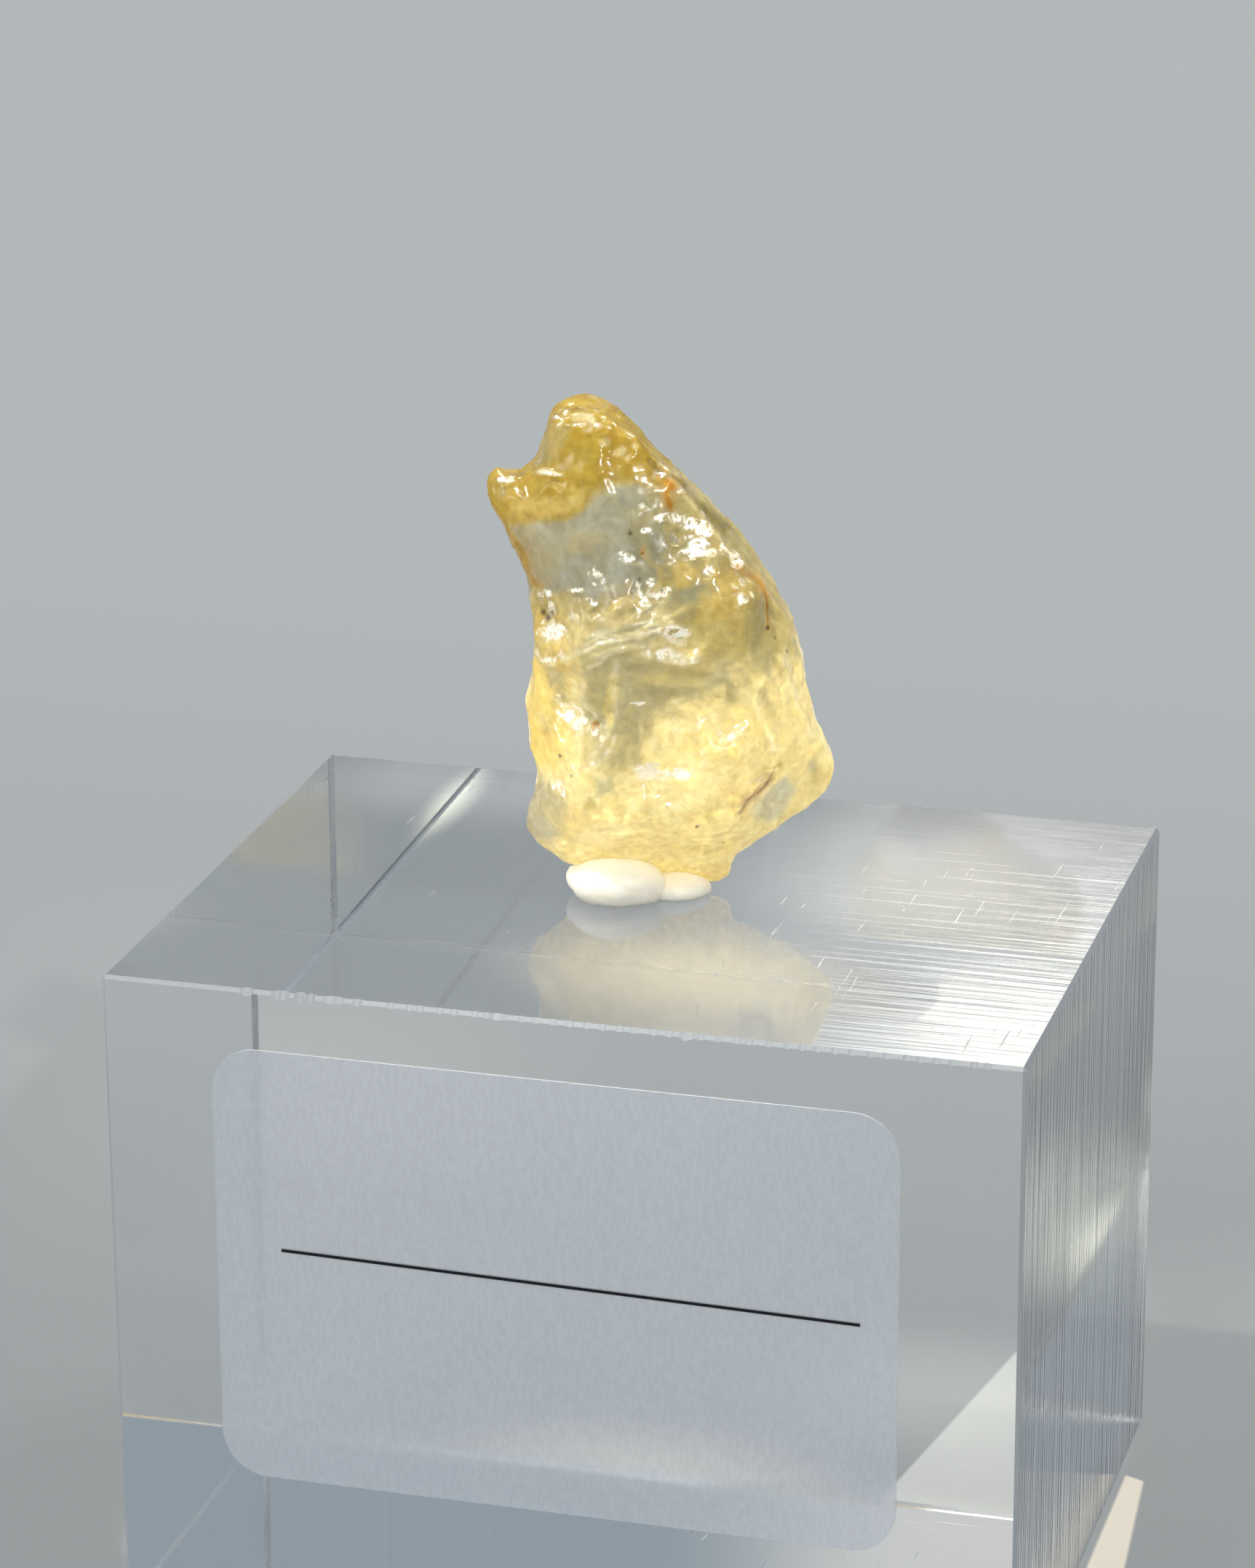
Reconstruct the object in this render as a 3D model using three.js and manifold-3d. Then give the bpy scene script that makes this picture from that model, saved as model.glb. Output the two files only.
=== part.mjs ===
// A raw piece of natural desert glass, shown as collectors keep it: the pale yellow stone stands upright in a
// pad of white mineral tack on top of a clear acrylic block, and a frosted film label is stuck on the block's front.
// Millimetres, +Z up, front towards -Y. The origin is the middle of the block's underside.
import * as THREE from "three";
import { mergeVertices } from "three/addons/utils/BufferGeometryUtils.js";
import Module from "manifold-3d";

const wasm = await Module();
wasm.setup();

// Driving dimensions of the acrylic block and its label: stock inch sizes
const BLOCK = { width: 50.8, depth: 38.1, height: 38.1, edge: 0.25 };
const LABEL = { width: 38.1, height: 25.4, thickness: 0.15, corner: 2.6, belowTop: 3.4, fromMiddle: -0.2 };

// The stone has axes of its own: u to its right, v away from its front and w up from the block's top
const STONE = {
  foot: new THREE.Vector2(-0.9, 1.95), // where its axes start on the block's top
  turn: THREE.MathUtils.degToRad(16), // its broad face is turned this far from the block's front
  middle: { u: 1.5, w: 13.5 }, // the rim line is single valued round this point
  ballDetail: 18, // the icosahedron's divisions: 18 gives 7220 triangles
  flatBlend: 0.22, // how softly two flats of the stone run into each other
};

// The stone's rim line, anticlockwise from the horn's tip: [u, v, w]. It is the back edge of the narrow side face
// that shows beyond the ridge, and it runs on above the horn's top, which is broken off in a low dome.
const RIM_LINE = [
  [-2.5, 0.6, 29.1],
  [-3.9, 0.3, 29.1],
  [-4.7, 0.2, 28.1],
  [-5.3, 0.1, 26.4],
  [-5.9, 0.0, 24.9],
  [-6.9, 0.0, 24.2],
  [-7.8, -0.2, 24.5],
  [-8.5, -0.2, 23.8],
  [-8.2, -0.2, 22.4],
  [-7.3, -0.1, 20.7],
  [-6.4, 0.0, 18.5],
  [-6.0, 0.1, 16.2],
  [-6.1, 0.2, 13.6],
  [-6.5, 0.2, 10.6],
  [-6.2, 0.0, 8.2],
  [-5.9, -0.2, 6.6],
  [-6.5, -0.4, 4.6],
  [-6.2, -0.5, 3.3],
  [-5.0, -0.6, 2.2],
  [-3.8, -0.7, 1.4],
  [-1.8, -0.7, 0.9],
  [0.8, -0.7, 0.8],
  [3.0, -0.8, 0.5],
  [4.5, -0.8, 0.6],
  [5.1, -0.6, 2.0],
  [6.8, -0.3, 3.2],
  [9.0, 0.1, 4.6],
  [10.4, 0.3, 6.0],
  [10.5, 0.4, 7.4],
  [9.8, 0.5, 9.3],
  [9.2, 0.7, 11.4],
  [8.7, 0.8, 13.9],
  [8.1, 0.9, 15.9],
  [6.8, 0.7, 18.4],
  [5.0, 0.4, 20.8],
  [2.6, 0.2, 23.6],
  [0.5, 0.0, 25.85],
  [-1.3, 0.0, 27.9],
];

const HORN_TOP = { height: 28.2, middle: -3.15, reach: 2.4, bend: 0.15, risePerV: 0.08, blend: 0.12 };

// Flats that bound the stone's front and back: height off the middle plane over the middle point, and how much
// that height changes for each millimetre of u and of w
const FRONT_FLATS = [
  { height: 5.7, perU: 0.0, perW: -0.04 }, // the broad lower face
  { height: 7.0, perU: -0.05, perW: -0.3 }, // the upper face leans back
  { height: 9.2, perU: -0.85, perW: 0.1 }, // right flank
  { height: 9.2, perU: 0.75, perW: -0.05 }, // left flank
  { height: 14.4, perU: 0.0, perW: 1.1 }, // undercut above the tack
  { height: 26.2, perU: -2.21, perW: -2.0 }, // breaks the ridge from the horn to the shoulder
];
const BACK_FLATS = [
  { height: 5.1, perU: 0.05, perW: -0.08 },
  { height: 6.0, perU: -0.1, perW: -0.28 },
  { height: 8.2, perU: -0.7, perW: -0.15 },
  { height: 8.0, perU: 0.8, perW: 0.1 },
  { height: 12.0, perU: 0.1, perW: 0.8 },
];

// Bowl-shaped scoops: centre, radius of the bowl and depth of the cut, with stretch along a slanted long axis
const FRONT_SCOOPS = [
  { u: 1.0, w: 11.9, bowl: 7.6, depth: 0.7, stretch: 1.2, slant: 0.25 }, // clear hollow under the ledge
  { u: -3.2, w: 20.6, bowl: 11.0, depth: 0.5, stretch: 1.2, slant: -0.3 }, // smooth window below the horn
  { u: 7.4, w: 6.4, bowl: 2.8, depth: 0.95, stretch: 1.5, slant: 0.6 }, // scallop at the lower right
  { u: -5.2, w: 5.2, bowl: 2.4, depth: 0.45, stretch: 1.4, slant: 1.2 }, // beside the lower left bulge
  { u: 2.6, w: 21.8, bowl: 2.0, depth: 0.55, stretch: 1.4, slant: -0.6 }, // frosted chips near the ridge
  { u: 0.4, w: 18.6, bowl: 1.6, depth: 0.5, stretch: 1.1, slant: -0.8 },
  { u: -4.8, w: 17.4, bowl: 2.0, depth: 0.6, stretch: 1.3, slant: 1.4 }, // stained pit on the left edge
  { u: -3.4, w: 11.5, bowl: 2.4, depth: 0.6, stretch: 1.5, slant: -0.6 }, // frosted pit over a rust speck
  { u: 2.0, w: 8.6, bowl: 3.0, depth: 0.5, stretch: 1.5, slant: 0.1 },
  { u: -0.5, w: 8.7, bowl: 1.8, depth: 0.35, stretch: 1.3, slant: -0.4 },
  { u: 5.0, w: 11.6, bowl: 2.0, depth: 0.4, stretch: 1.2, slant: 0.8 },
  { u: -2.4, w: 19.6, bowl: 1.0, depth: 0.35, stretch: 1.4, slant: -0.9 },
  { u: -0.5, w: 20.9, bowl: 1.1, depth: 0.35, stretch: 1.4, slant: -0.2 },
  { u: -3.9, w: 26.2, bowl: 2.6, depth: 0.4, stretch: 1.5, slant: 1.2 }, // flat cut left of the horn's tip
];
const BACK_SCOOPS = [
  { u: 0.5, w: 15.0, bowl: 7.0, depth: 0.9, stretch: 1.3, slant: 0.5 },
  { u: 4.0, w: 7.5, bowl: 4.0, depth: 0.8, stretch: 1.2, slant: -0.4 },
  { u: -3.2, w: 7.8, bowl: 3.4, depth: 0.6, stretch: 1.1, slant: 0.9 },
  { u: -3.0, w: 21.5, bowl: 5.0, depth: 0.5, stretch: 1.4, slant: -0.5 },
  { u: 2.4, w: 20.6, bowl: 2.6, depth: 0.5, stretch: 1.3, slant: 0.8 },
  { u: -3.5, w: 14.2, bowl: 2.0, depth: 0.45, stretch: 1.0, slant: 0 },
  { u: 6.4, w: 12.5, bowl: 2.4, depth: 0.5, stretch: 1.2, slant: 1.2 },
];

// Rounded lumps: centre, width and height
const FRONT_LUMPS = [
  { u: 4.3, w: 18.0, width: 1.9, height: 0.75 }, // the yellow boss right of the middle
  { u: -0.8, w: 17.4, width: 1.1, height: 0.4 },
  { u: -3.6, w: 15.7, width: 1.2, height: 0.6 },
  { u: 5.4, w: 9.6, width: 1.5, height: 0.5 },
  { u: -4.6, w: 8.8, width: 1.4, height: 0.4 },
  { u: -1.0, w: 6.2, width: 1.1, height: 0.45 }, // round bump low on the face
  { u: 1.8, w: 4.6, width: 1.6, height: 0.4 },
  { u: -3.2, w: 3.8, width: 1.3, height: 0.3 },
  { u: -5.8, w: 23.4, width: 1.2, height: 0.35 },
  { u: 8.8, w: 8.8, width: 1.3, height: 0.6 },
];
const BACK_LUMPS = [
  { u: 2.8, w: 12.0, width: 1.8, height: 0.6 },
  { u: -1.8, w: 17.8, width: 1.5, height: 0.5 },
  { u: 0.6, w: 4.6, width: 1.8, height: 0.5 },
  { u: 6.8, w: 8.0, width: 1.4, height: 0.5 },
  { u: -3.8, w: 24.8, width: 1.4, height: 0.35 },
  { u: 4.2, w: 17.6, width: 1.5, height: 0.4 },
];

// Raised crests and sunk grooves follow short lines: points, width and height, which is negative for a groove
const FRONT_LINES = [
  { along: [[-5.0, 14.6], [-3.7, 14.8], [-2.0, 15.7], [0.2, 16.6], [1.7, 17.4]], width: 0.5, height: 0.4 },
  { along: [[-0.9, 15.6], [0.5, 15.1], [2.3, 14.8], [3.2, 15.4], [4.0, 16.3]], width: 0.6, height: 0.3 },
  { along: [[5.6, 20.0], [6.7, 18.6], [6.8, 16.8], [5.8, 15.2], [5.6, 13.4]], width: 0.5, height: -0.5 },
  { along: [[7.4, 15.6], [8.0, 12.6], [8.6, 10.2]], width: 0.5, height: 0.35 },
  { along: [[7.8, 9.6], [6.8, 8.5], [5.6, 7.2], [5.3, 5.6]], width: 0.4, height: 0.35 },
  { along: [[3.4, 10.2], [3.4, 11.4], [2.2, 11.8]], width: 0.35, height: 0.25 },
  { along: [[-1.6, 13.0], [-1.3, 10.9], [-2.0, 8.8]], width: 0.45, height: 0.3 },
];

// Its cross-section is a fat oval. Where the ridge runs from the horn down to the right shoulder it is squarer in
// front and rounder behind.
const SECTION = { oval: 2.9, square: 8.0, rounder: 0.6, ridgeAt: THREE.MathUtils.degToRad(68), ridgeSpread: 0.6 };

// The pad of tack under the stone: lobes as squeezed balls in the stone's axes, [u, v, w], and their half sizes
const TACK_LOBES = [
  { at: [-1.4, -1.9, 0.8], half: [2.5, 1.65, 1.42], lean: 0.1 }, // the big lobe in front
  { at: [-3.1, -1.2, 0.9], half: [1.1, 1.0, 0.8], lean: 0.3 }, // a small fold at its left end
  { at: [1.7, -1.0, 0.2], half: [1.9, 1.6, 0.85], lean: 0 }, // a thin lobe running to the right
  { at: [0.0, 1.2, 0.3], half: [2.8, 2.0, 1.0], lean: 0 }, // what is squeezed out behind
];
const TACK = { around: 24, across: 12, clearOfStone: 0.3 };

const MATERIALS = {
  stone: new THREE.MeshStandardMaterial({ color: "#e3cc7c", roughness: 0.3, transparent: true, opacity: 0.85 }),
  tack: new THREE.MeshStandardMaterial({ color: "#f3efe2", roughness: 0.7 }),
  acrylic: new THREE.MeshStandardMaterial({ color: "#dfe6e8", roughness: 0.05, transparent: true, opacity: 0.35 }),
  film: new THREE.MeshStandardMaterial({ color: "#ccd3da", roughness: 0.6, transparent: true, opacity: 0.8 }),
};

// The rim line as a closed curve, read by the share of its length that has been gone round
function rimReader() {
  const points = RIM_LINE.map(([u, v, w]) => new THREE.Vector3(u, v, w));
  const curve = new THREE.CatmullRomCurve3(points, true, "centripetal");
  curve.arcLengthDivisions = points.length * 12;
  return (turns) => curve.getPointAt(THREE.MathUtils.euclideanModulo(turns, 1));
}

// The lower of two heights, run softly into each other
function softLower(a, b, blend) {
  return Math.min(a, b) - blend * Math.log1p(Math.exp(-Math.abs(a - b) / blend));
}

// The lowest of several flats at a point
function overFlats(flats, u, w) {
  return flats
    .map((flat) => flat.height + flat.perU * (u - STONE.middle.u) + flat.perW * (w - STONE.middle.w))
    .reduce((lowest, height) => softLower(lowest, height, STONE.flatBlend));
}

// How deep a bowl-shaped scoop cuts at a point
function scoopDepth(scoop, u, w) {
  const [du, dw] = [u - scoop.u, w - scoop.w];
  const along = (du * Math.cos(scoop.slant) + dw * Math.sin(scoop.slant)) / scoop.stretch;
  const across = dw * Math.cos(scoop.slant) - du * Math.sin(scoop.slant);
  const away = Math.hypot(along, across);
  if (away >= scoop.bowl) return 0;
  return Math.max(0, Math.sqrt(scoop.bowl ** 2 - away ** 2) - (scoop.bowl - scoop.depth));
}

// How high a crest or a groove stands at a point
function lineHeight(line, u, w) {
  const here = new THREE.Vector3(u, 0, w);
  const nearest = new THREE.Vector3();
  let away = Infinity;
  for (let i = 1; i < line.along.length; i++) {
    const [a, b] = [line.along[i - 1], line.along[i]].map((p) => new THREE.Vector3(p[0], 0, p[1]));
    new THREE.Line3(a, b).closestPointToPoint(here, true, nearest);
    away = Math.min(away, nearest.distanceTo(here));
  }
  return line.height * Math.exp(-0.5 * (away / line.width) ** 2);
}

// Height of one face of the stone off its middle plane
function faceHeight(flats, scoops, lumps, lines, u, w) {
  let height = overFlats(flats, u, w);
  for (const scoop of scoops) height -= scoopDepth(scoop, u, w);
  for (const lump of lumps) {
    const away = Math.hypot(u - lump.u, w - lump.w);
    height += lump.height * Math.exp(-0.5 * (away / lump.width) ** 2);
  }
  for (const line of lines) height += lineHeight(line, u, w);
  return height;
}

// The stone is a ball whose points are carried out to the rim line and to the two faces. A positive grow makes
// it larger all round by about that much.
function stoneGeometry(grow) {
  const ball = new THREE.IcosahedronGeometry(1, STONE.ballDetail);
  ball.deleteAttribute("normal");
  ball.deleteAttribute("uv");
  const geometry = mergeVertices(ball, 1e-5);
  const rimAt = rimReader();
  const position = geometry.getAttribute("position");
  for (let i = 0; i < position.count; i++) {
    const [x, y, z] = [position.getX(i), position.getY(i), position.getZ(i)];
    const rim = rimAt(Math.atan2(z, x) / (2 * Math.PI) - 0.25);
    const [du, dw] = [rim.x - STONE.middle.u, rim.z - STONE.middle.w];
    const fromRidge = Math.atan2(dw, du) - SECTION.ridgeAt;
    const nearRidge = Math.exp((Math.cos(fromRidge) - 1) / SECTION.ridgeSpread ** 2);
    const power = SECTION.oval + (y < 0 ? SECTION.square : -SECTION.rounder) * nearRidge;
    const across = Math.hypot(x, z);
    const size = (across ** power + Math.abs(y) ** power) ** (-1 / power);
    const outward = across * size;
    const reach = outward * (1 + grow / Math.hypot(du, dw));
    const [u, w] = [STONE.middle.u + du * reach, STONE.middle.w + dw * reach];
    const height =
      y < 0
        ? faceHeight(FRONT_FLATS, FRONT_SCOOPS, FRONT_LUMPS, FRONT_LINES, u, w)
        : faceHeight(BACK_FLATS, BACK_SCOOPS, BACK_LUMPS, [], u, w);
    const v = (height + grow) * y * size + rim.y * outward ** 3;
    const aside = Math.min(Math.abs(u - HORN_TOP.middle), HORN_TOP.reach);
    const top = HORN_TOP.height + HORN_TOP.risePerV * v - HORN_TOP.bend * aside ** 2;
    position.setXYZ(i, u, v, softLower(w, top + grow, HORN_TOP.blend));
  }
  return geometry;
}

// From the stone's axes to the part's
function placeOnBlock(geometry) {
  return geometry.rotateZ(STONE.turn).translate(STONE.foot.x, STONE.foot.y, BLOCK.height);
}

function solidOf(geometry) {
  const plain = geometry.clone();
  plain.deleteAttribute("normal");
  plain.deleteAttribute("uv");
  const merged = mergeVertices(plain, 1e-5);
  return new wasm.Manifold(
    new wasm.Mesh({
      numProp: 3,
      vertProperties: merged.getAttribute("position").array,
      triVerts: new Uint32Array(merged.index.array),
    }),
  );
}

function geometryOf(solid) {
  const mesh = solid.getMesh();
  return new THREE.BufferGeometry()
    .setAttribute("position", new THREE.BufferAttribute(mesh.vertProperties, 3))
    .setIndex(new THREE.BufferAttribute(mesh.triVerts, 1));
}

// The tack is squeezed from under the stone in lobes, flat where it sticks to the block
function tackGeometry() {
  const lobes = TACK_LOBES.map(({ at, half, lean }) => {
    const ball = new THREE.SphereGeometry(1, TACK.around, TACK.across);
    return solidOf(ball.scale(...half).rotateY(lean).translate(...at));
  });
  const blob = lobes.reduce((all, lobe) => all.add(lobe));
  const room = 12;
  const above = solidOf(new THREE.BoxGeometry(room, room, room).translate(0, 0, room / 2));
  const stone = solidOf(stoneGeometry(TACK.clearOfStone));
  return geometryOf(blob.intersect(above).subtract(stone));
}

// A block of cast acrylic with all its edges broken
function blockGeometry() {
  const { width, depth, height, edge } = BLOCK;
  const [x, y] = [width / 2 - edge, depth / 2 - edge];
  const outline = new THREE.Shape([
    new THREE.Vector2(-x, -y + edge),
    new THREE.Vector2(-x + edge, -y),
    new THREE.Vector2(x - edge, -y),
    new THREE.Vector2(x, -y + edge),
    new THREE.Vector2(x, y - edge),
    new THREE.Vector2(x - edge, y),
    new THREE.Vector2(-x + edge, y),
    new THREE.Vector2(-x, y - edge),
  ]);
  const bevel = { bevelEnabled: true, bevelSize: edge, bevelThickness: edge, bevelSegments: 1 };
  return new THREE.ExtrudeGeometry(outline, { depth: height - 2 * edge, ...bevel }).translate(0, 0, edge);
}

// A film label with round corners, flat on the block's front face
function labelGeometry() {
  const { width, height, corner, thickness } = LABEL;
  const [x, z] = [width / 2, height / 2];
  const outline = new THREE.Shape()
    .moveTo(-x + corner, -z)
    .lineTo(x - corner, -z)
    .absarc(x - corner, -z + corner, corner, -Math.PI / 2, 0)
    .lineTo(x, z - corner)
    .absarc(x - corner, z - corner, corner, 0, Math.PI / 2)
    .lineTo(-x + corner, z)
    .absarc(-x + corner, z - corner, corner, Math.PI / 2, Math.PI)
    .lineTo(-x, -z + corner)
    .absarc(-x + corner, -z + corner, corner, Math.PI, 1.5 * Math.PI);
  return new THREE.ExtrudeGeometry(outline, { depth: thickness, bevelEnabled: false, curveSegments: 8 })
    .rotateX(Math.PI / 2)
    .translate(LABEL.fromMiddle, -BLOCK.depth / 2, BLOCK.height - LABEL.belowTop - z);
}

function named(name, geometry, material) {
  const mesh = new THREE.Mesh(geometry, material);
  mesh.name = name;
  return mesh;
}

const group = new THREE.Group();
group.add(
  named("glass", placeOnBlock(stoneGeometry(0)), MATERIALS.stone),
  named("tack", placeOnBlock(tackGeometry()), MATERIALS.tack),
  named("block", blockGeometry(), MATERIALS.acrylic),
  named("label", labelGeometry(), MATERIALS.film),
);

export default group;
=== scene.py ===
# %% [markdown]
# # A raw piece of desert glass on its display block
# The object is small: a yellow natural glass stone 28 mm tall stands in a pad of white tack on a clear
# acrylic block, and a frosted film label is stuck on the block's front. This lesson dresses the finished
# solid model piece by piece. The solids give every size and place, and each cell adds one finish that the
# real piece has.

# %% Load the solid model
import math

import bpy
import numpy as np
from mathutils import Matrix, Vector, noise


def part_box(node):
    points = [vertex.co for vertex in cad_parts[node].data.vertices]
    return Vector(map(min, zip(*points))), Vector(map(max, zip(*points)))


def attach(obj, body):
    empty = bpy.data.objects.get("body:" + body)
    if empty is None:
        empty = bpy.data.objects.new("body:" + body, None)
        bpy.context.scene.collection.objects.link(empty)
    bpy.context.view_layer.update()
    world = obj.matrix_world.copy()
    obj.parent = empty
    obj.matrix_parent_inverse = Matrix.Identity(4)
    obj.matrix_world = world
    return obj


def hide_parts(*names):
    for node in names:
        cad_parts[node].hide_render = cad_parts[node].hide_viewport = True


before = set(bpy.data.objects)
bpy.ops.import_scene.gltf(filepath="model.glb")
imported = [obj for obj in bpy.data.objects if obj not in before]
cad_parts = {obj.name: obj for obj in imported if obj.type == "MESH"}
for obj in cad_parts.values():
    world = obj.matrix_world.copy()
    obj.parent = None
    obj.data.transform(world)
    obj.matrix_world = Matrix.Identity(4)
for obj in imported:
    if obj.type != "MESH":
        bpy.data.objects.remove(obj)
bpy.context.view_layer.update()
MM = 0.001

# %% [markdown]
# ## The camera
# The picture is taken from a little above. A long lens far away keeps the block's edges nearly parallel, as
# in the photograph. It comes before everything else.

# %% Camera
CAMERA_AT = Vector((73.7, -262.5, 140.1)) * MM
CAMERA_YAW = math.radians(15.94)
CAMERA_DOWN = math.radians(19.25)
CAMERA_ROLL = math.radians(-0.32)
CAMERA_LENS = 119.4
SENSOR = 36.0


def add_to_scene(name, data):
    thing = bpy.data.objects.new(name, data)
    bpy.context.scene.collection.objects.link(thing)
    return thing


camera = add_to_scene("camera", bpy.data.cameras.new("camera"))
camera.data.lens = CAMERA_LENS
camera.data.sensor_width = SENSOR
camera.data.clip_start = 0.01
camera.data.clip_end = 20.0
turn = Matrix.Rotation(CAMERA_YAW, 4, "Z") @ Matrix.Rotation(math.pi / 2 - CAMERA_DOWN, 4, "X")
camera.matrix_world = Matrix.Translation(CAMERA_AT) @ turn @ Matrix.Rotation(CAMERA_ROLL, 4, "Z")
bpy.context.scene.camera = camera
print("camera is", round(CAMERA_AT.length / MM), "mm from the block's foot")

# %% [markdown]
# ## The stone's own axes
# The stone stands a little turned on the block. Its marks are easiest to place on its own face, so we use
# its axes: u runs to its right, v away from its front and w up from the block's top, all in millimetres.
# The helpers below change a whole table of points from one set of axes to the other at once.

# %% Stone axes
block_low, block_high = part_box("block")
BLOCK_TOP = block_high.z / MM
STONE_TURN = math.radians(16)
STONE_FOOT = np.array([-0.9, 1.95, BLOCK_TOP])


def turned(points, angle):
    c, s = math.cos(angle), math.sin(angle)
    x, y, z = points.T
    return np.stack([c * x - s * y, c * y + s * x, z], 1)


def to_stone(points):
    """From the part's metres to the stone's millimetres."""
    return turned(points / MM - STONE_FOOT, -STONE_TURN)


def from_stone(points):
    """From the stone's millimetres to the part's metres."""
    return (turned(points, STONE_TURN) + STONE_FOOT) * MM


def read_vectors(items, key):
    values = np.empty(len(items) * 3)
    items.foreach_get(key, values)
    return values.reshape(-1, 3)


def read_points(mesh):
    return read_vectors(mesh.vertices, "co")


def read_normals(mesh):
    return read_vectors(mesh.vertex_normals, "vector")


def write_points(mesh, points):
    mesh.vertices.foreach_set("co", points.ravel())
    mesh.update()


print("the stone stands on z =", round(BLOCK_TOP, 2), "mm")

# %% [markdown]
# ## An even skin for the stone
# The solid stone has flat facets almost a millimetre wide. We need a skin fine enough to carry chips and
# pits. Subdividing would keep the uneven triangles, so the stone is remeshed into even squares instead, and
# then the facets are ironed out. Plain averaging would shrink the stone, so each pass that pulls the points
# together is followed by one that pushes them apart a little.

# %% Fine skin
SKIN_STEP = 0.13
IRON_PASSES = 14
PULL = 0.62
PUSH = -0.64


def copy_in_millimetres(node, name):
    """A free copy of a CAD node whose mesh is in the stone's millimetres."""
    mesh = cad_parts[node].data.copy()
    mesh.materials.clear()
    write_points(mesh, to_stone(read_points(mesh)))
    return add_to_scene(name, mesh)


def remesh(piece, step):
    """Replaces a piece's mesh by even squares of that step."""
    weld = piece.modifiers.new("weld", "WELD")
    weld.merge_threshold = step / 100
    squares = piece.modifiers.new("squares", "REMESH")
    squares.mode = "VOXEL"
    squares.voxel_size = step
    depsgraph = bpy.context.evaluated_depsgraph_get()
    mesh = bpy.data.meshes.new_from_object(piece.evaluated_get(depsgraph))
    piece.modifiers.clear()
    old, piece.data = piece.data, mesh
    bpy.data.meshes.remove(old)
    mesh.name = piece.name


def iron(mesh, passes):
    """Smooths a mesh and keeps its volume."""
    edges = np.empty(len(mesh.edges) * 2, int)
    mesh.edges.foreach_get("vertices", edges)
    a, b = edges.reshape(-1, 2).T
    count = len(mesh.vertices)
    ends = np.maximum(np.bincount(a, minlength=count) + np.bincount(b, minlength=count), 1)[:, None]
    points = read_points(mesh)
    for _ in range(passes):
        for share in (PULL, PUSH):
            total = np.zeros_like(points)
            for k in range(3):
                total[:, k] = np.bincount(a, points[b, k], count) + np.bincount(b, points[a, k], count)
            points = points + share * (total / ends - points)
    write_points(mesh, points)


stone = copy_in_millimetres("glass", "desert_glass")
remesh(stone, SKIN_STEP)
iron(stone.data, IRON_PASSES)
print("stone skin:", len(stone.data.polygons), "squares")

# %% [markdown]
# ## Heights as they are seen
# The camera looks down on the stone, so a mark at the back of a bulge appears higher than it is. The cloudy
# and clear zones go right through the stone and are seen through it. For both reasons the marks are placed
# by the height at which the eye sees them on one upright plane just at the stone's front.

# %% Seen height
FACE_PLANE = -4.5
GLASS_INDEX = 1.46
AIR_SLOPE = math.tan(CAMERA_DOWN)
GLASS_SLOPE = math.tan(math.asin(math.sin(CAMERA_DOWN) / GLASS_INDEX))


def seen_height(points, near=1.0):
    """near is 1 for points that face the camera and 0 for points seen through the glass."""
    slope = GLASS_SLOPE + near * (AIR_SLOPE - GLASS_SLOPE)
    return points[:, 2] + slope * (points[:, 1] - FACE_PLANE)


# %% [markdown]
# ## Relief of the stone
# Wind and old fractures have shaped this glass: bowl-shaped chips, low crests between them, round lumps and
# a skin that is nowhere quite flat. Each kind is a small height in millimetres at a place on the face. The
# heights are added up for all points at once and the points are then moved along their normals.

# %% Relief helpers
def smooth_step(low, high, value):
    t = np.clip((value - low) / (high - low), 0.0, 1.0)
    return t * t * (3 - 2 * t)


def bell(away, width):
    return np.exp(-0.5 * (away / width) ** 2)


def fade_at_ends(along, share):
    """Falls to 0 over that share of a line at both of its ends."""
    return smooth_step(0, share, along) * smooth_step(0, share, 1 - along)


def fractal(points, size, octaves, seed):
    """Smooth noise from -1 to 1 whose largest waves are about size millimetres wide."""
    shift = Vector((seed * 7.1, seed * 3.7, seed * 5.3))
    values = np.zeros(len(points))
    for i, p in enumerate(points):
        here = Vector(p) / size + shift
        values[i] = sum(noise.noise(here * 2**k) / 2**k for k in range(octaves))
    return values / 1.2


def slanted(u, w, spot):
    """Distance from a spot in units of its own radii, along its slanted axes."""
    du, dw = u - spot[0], w - spot[1]
    c, s = math.cos(math.radians(spot[4])), math.sin(math.radians(spot[4]))
    return np.hypot((c * du + s * dw) / spot[2], (c * dw - s * du) / spot[3])


def line_distance(u, w, line):
    """Distance from a broken line, and how far along it the nearest point is, from 0 to 1."""
    away = np.full(len(u), np.inf)
    along = np.zeros(len(u))
    parts = len(line) - 1
    for i, (start, end) in enumerate(zip(line, line[1:])):
        run = np.subtract(end, start)
        t = np.clip(((u - start[0]) * run[0] + (w - start[1]) * run[1]) / (run @ run), 0, 1)
        here = np.hypot(u - start[0] - t * run[0], w - start[1] - t * run[1])
        along = np.where(here < away, (i + t) / parts, along)
        away = np.minimum(away, here)
    return away, along


# %% Wind-worn skin
def scallops(points, size, seed):
    """Shallow bowls side by side with crests between them, from about -1 to 1."""
    shift = Vector((seed, 2 * seed, -seed))
    away = np.array([noise.voronoi(Vector(p) / size + shift)[0][0] for p in points])
    return 2.4 * np.minimum(away, 0.9) ** 2 - 0.8


# %% Facets of frosted chips
# noise_vector shifts its noise by a seed that comes from the clock until one is set
noise.seed_set(7)


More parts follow.
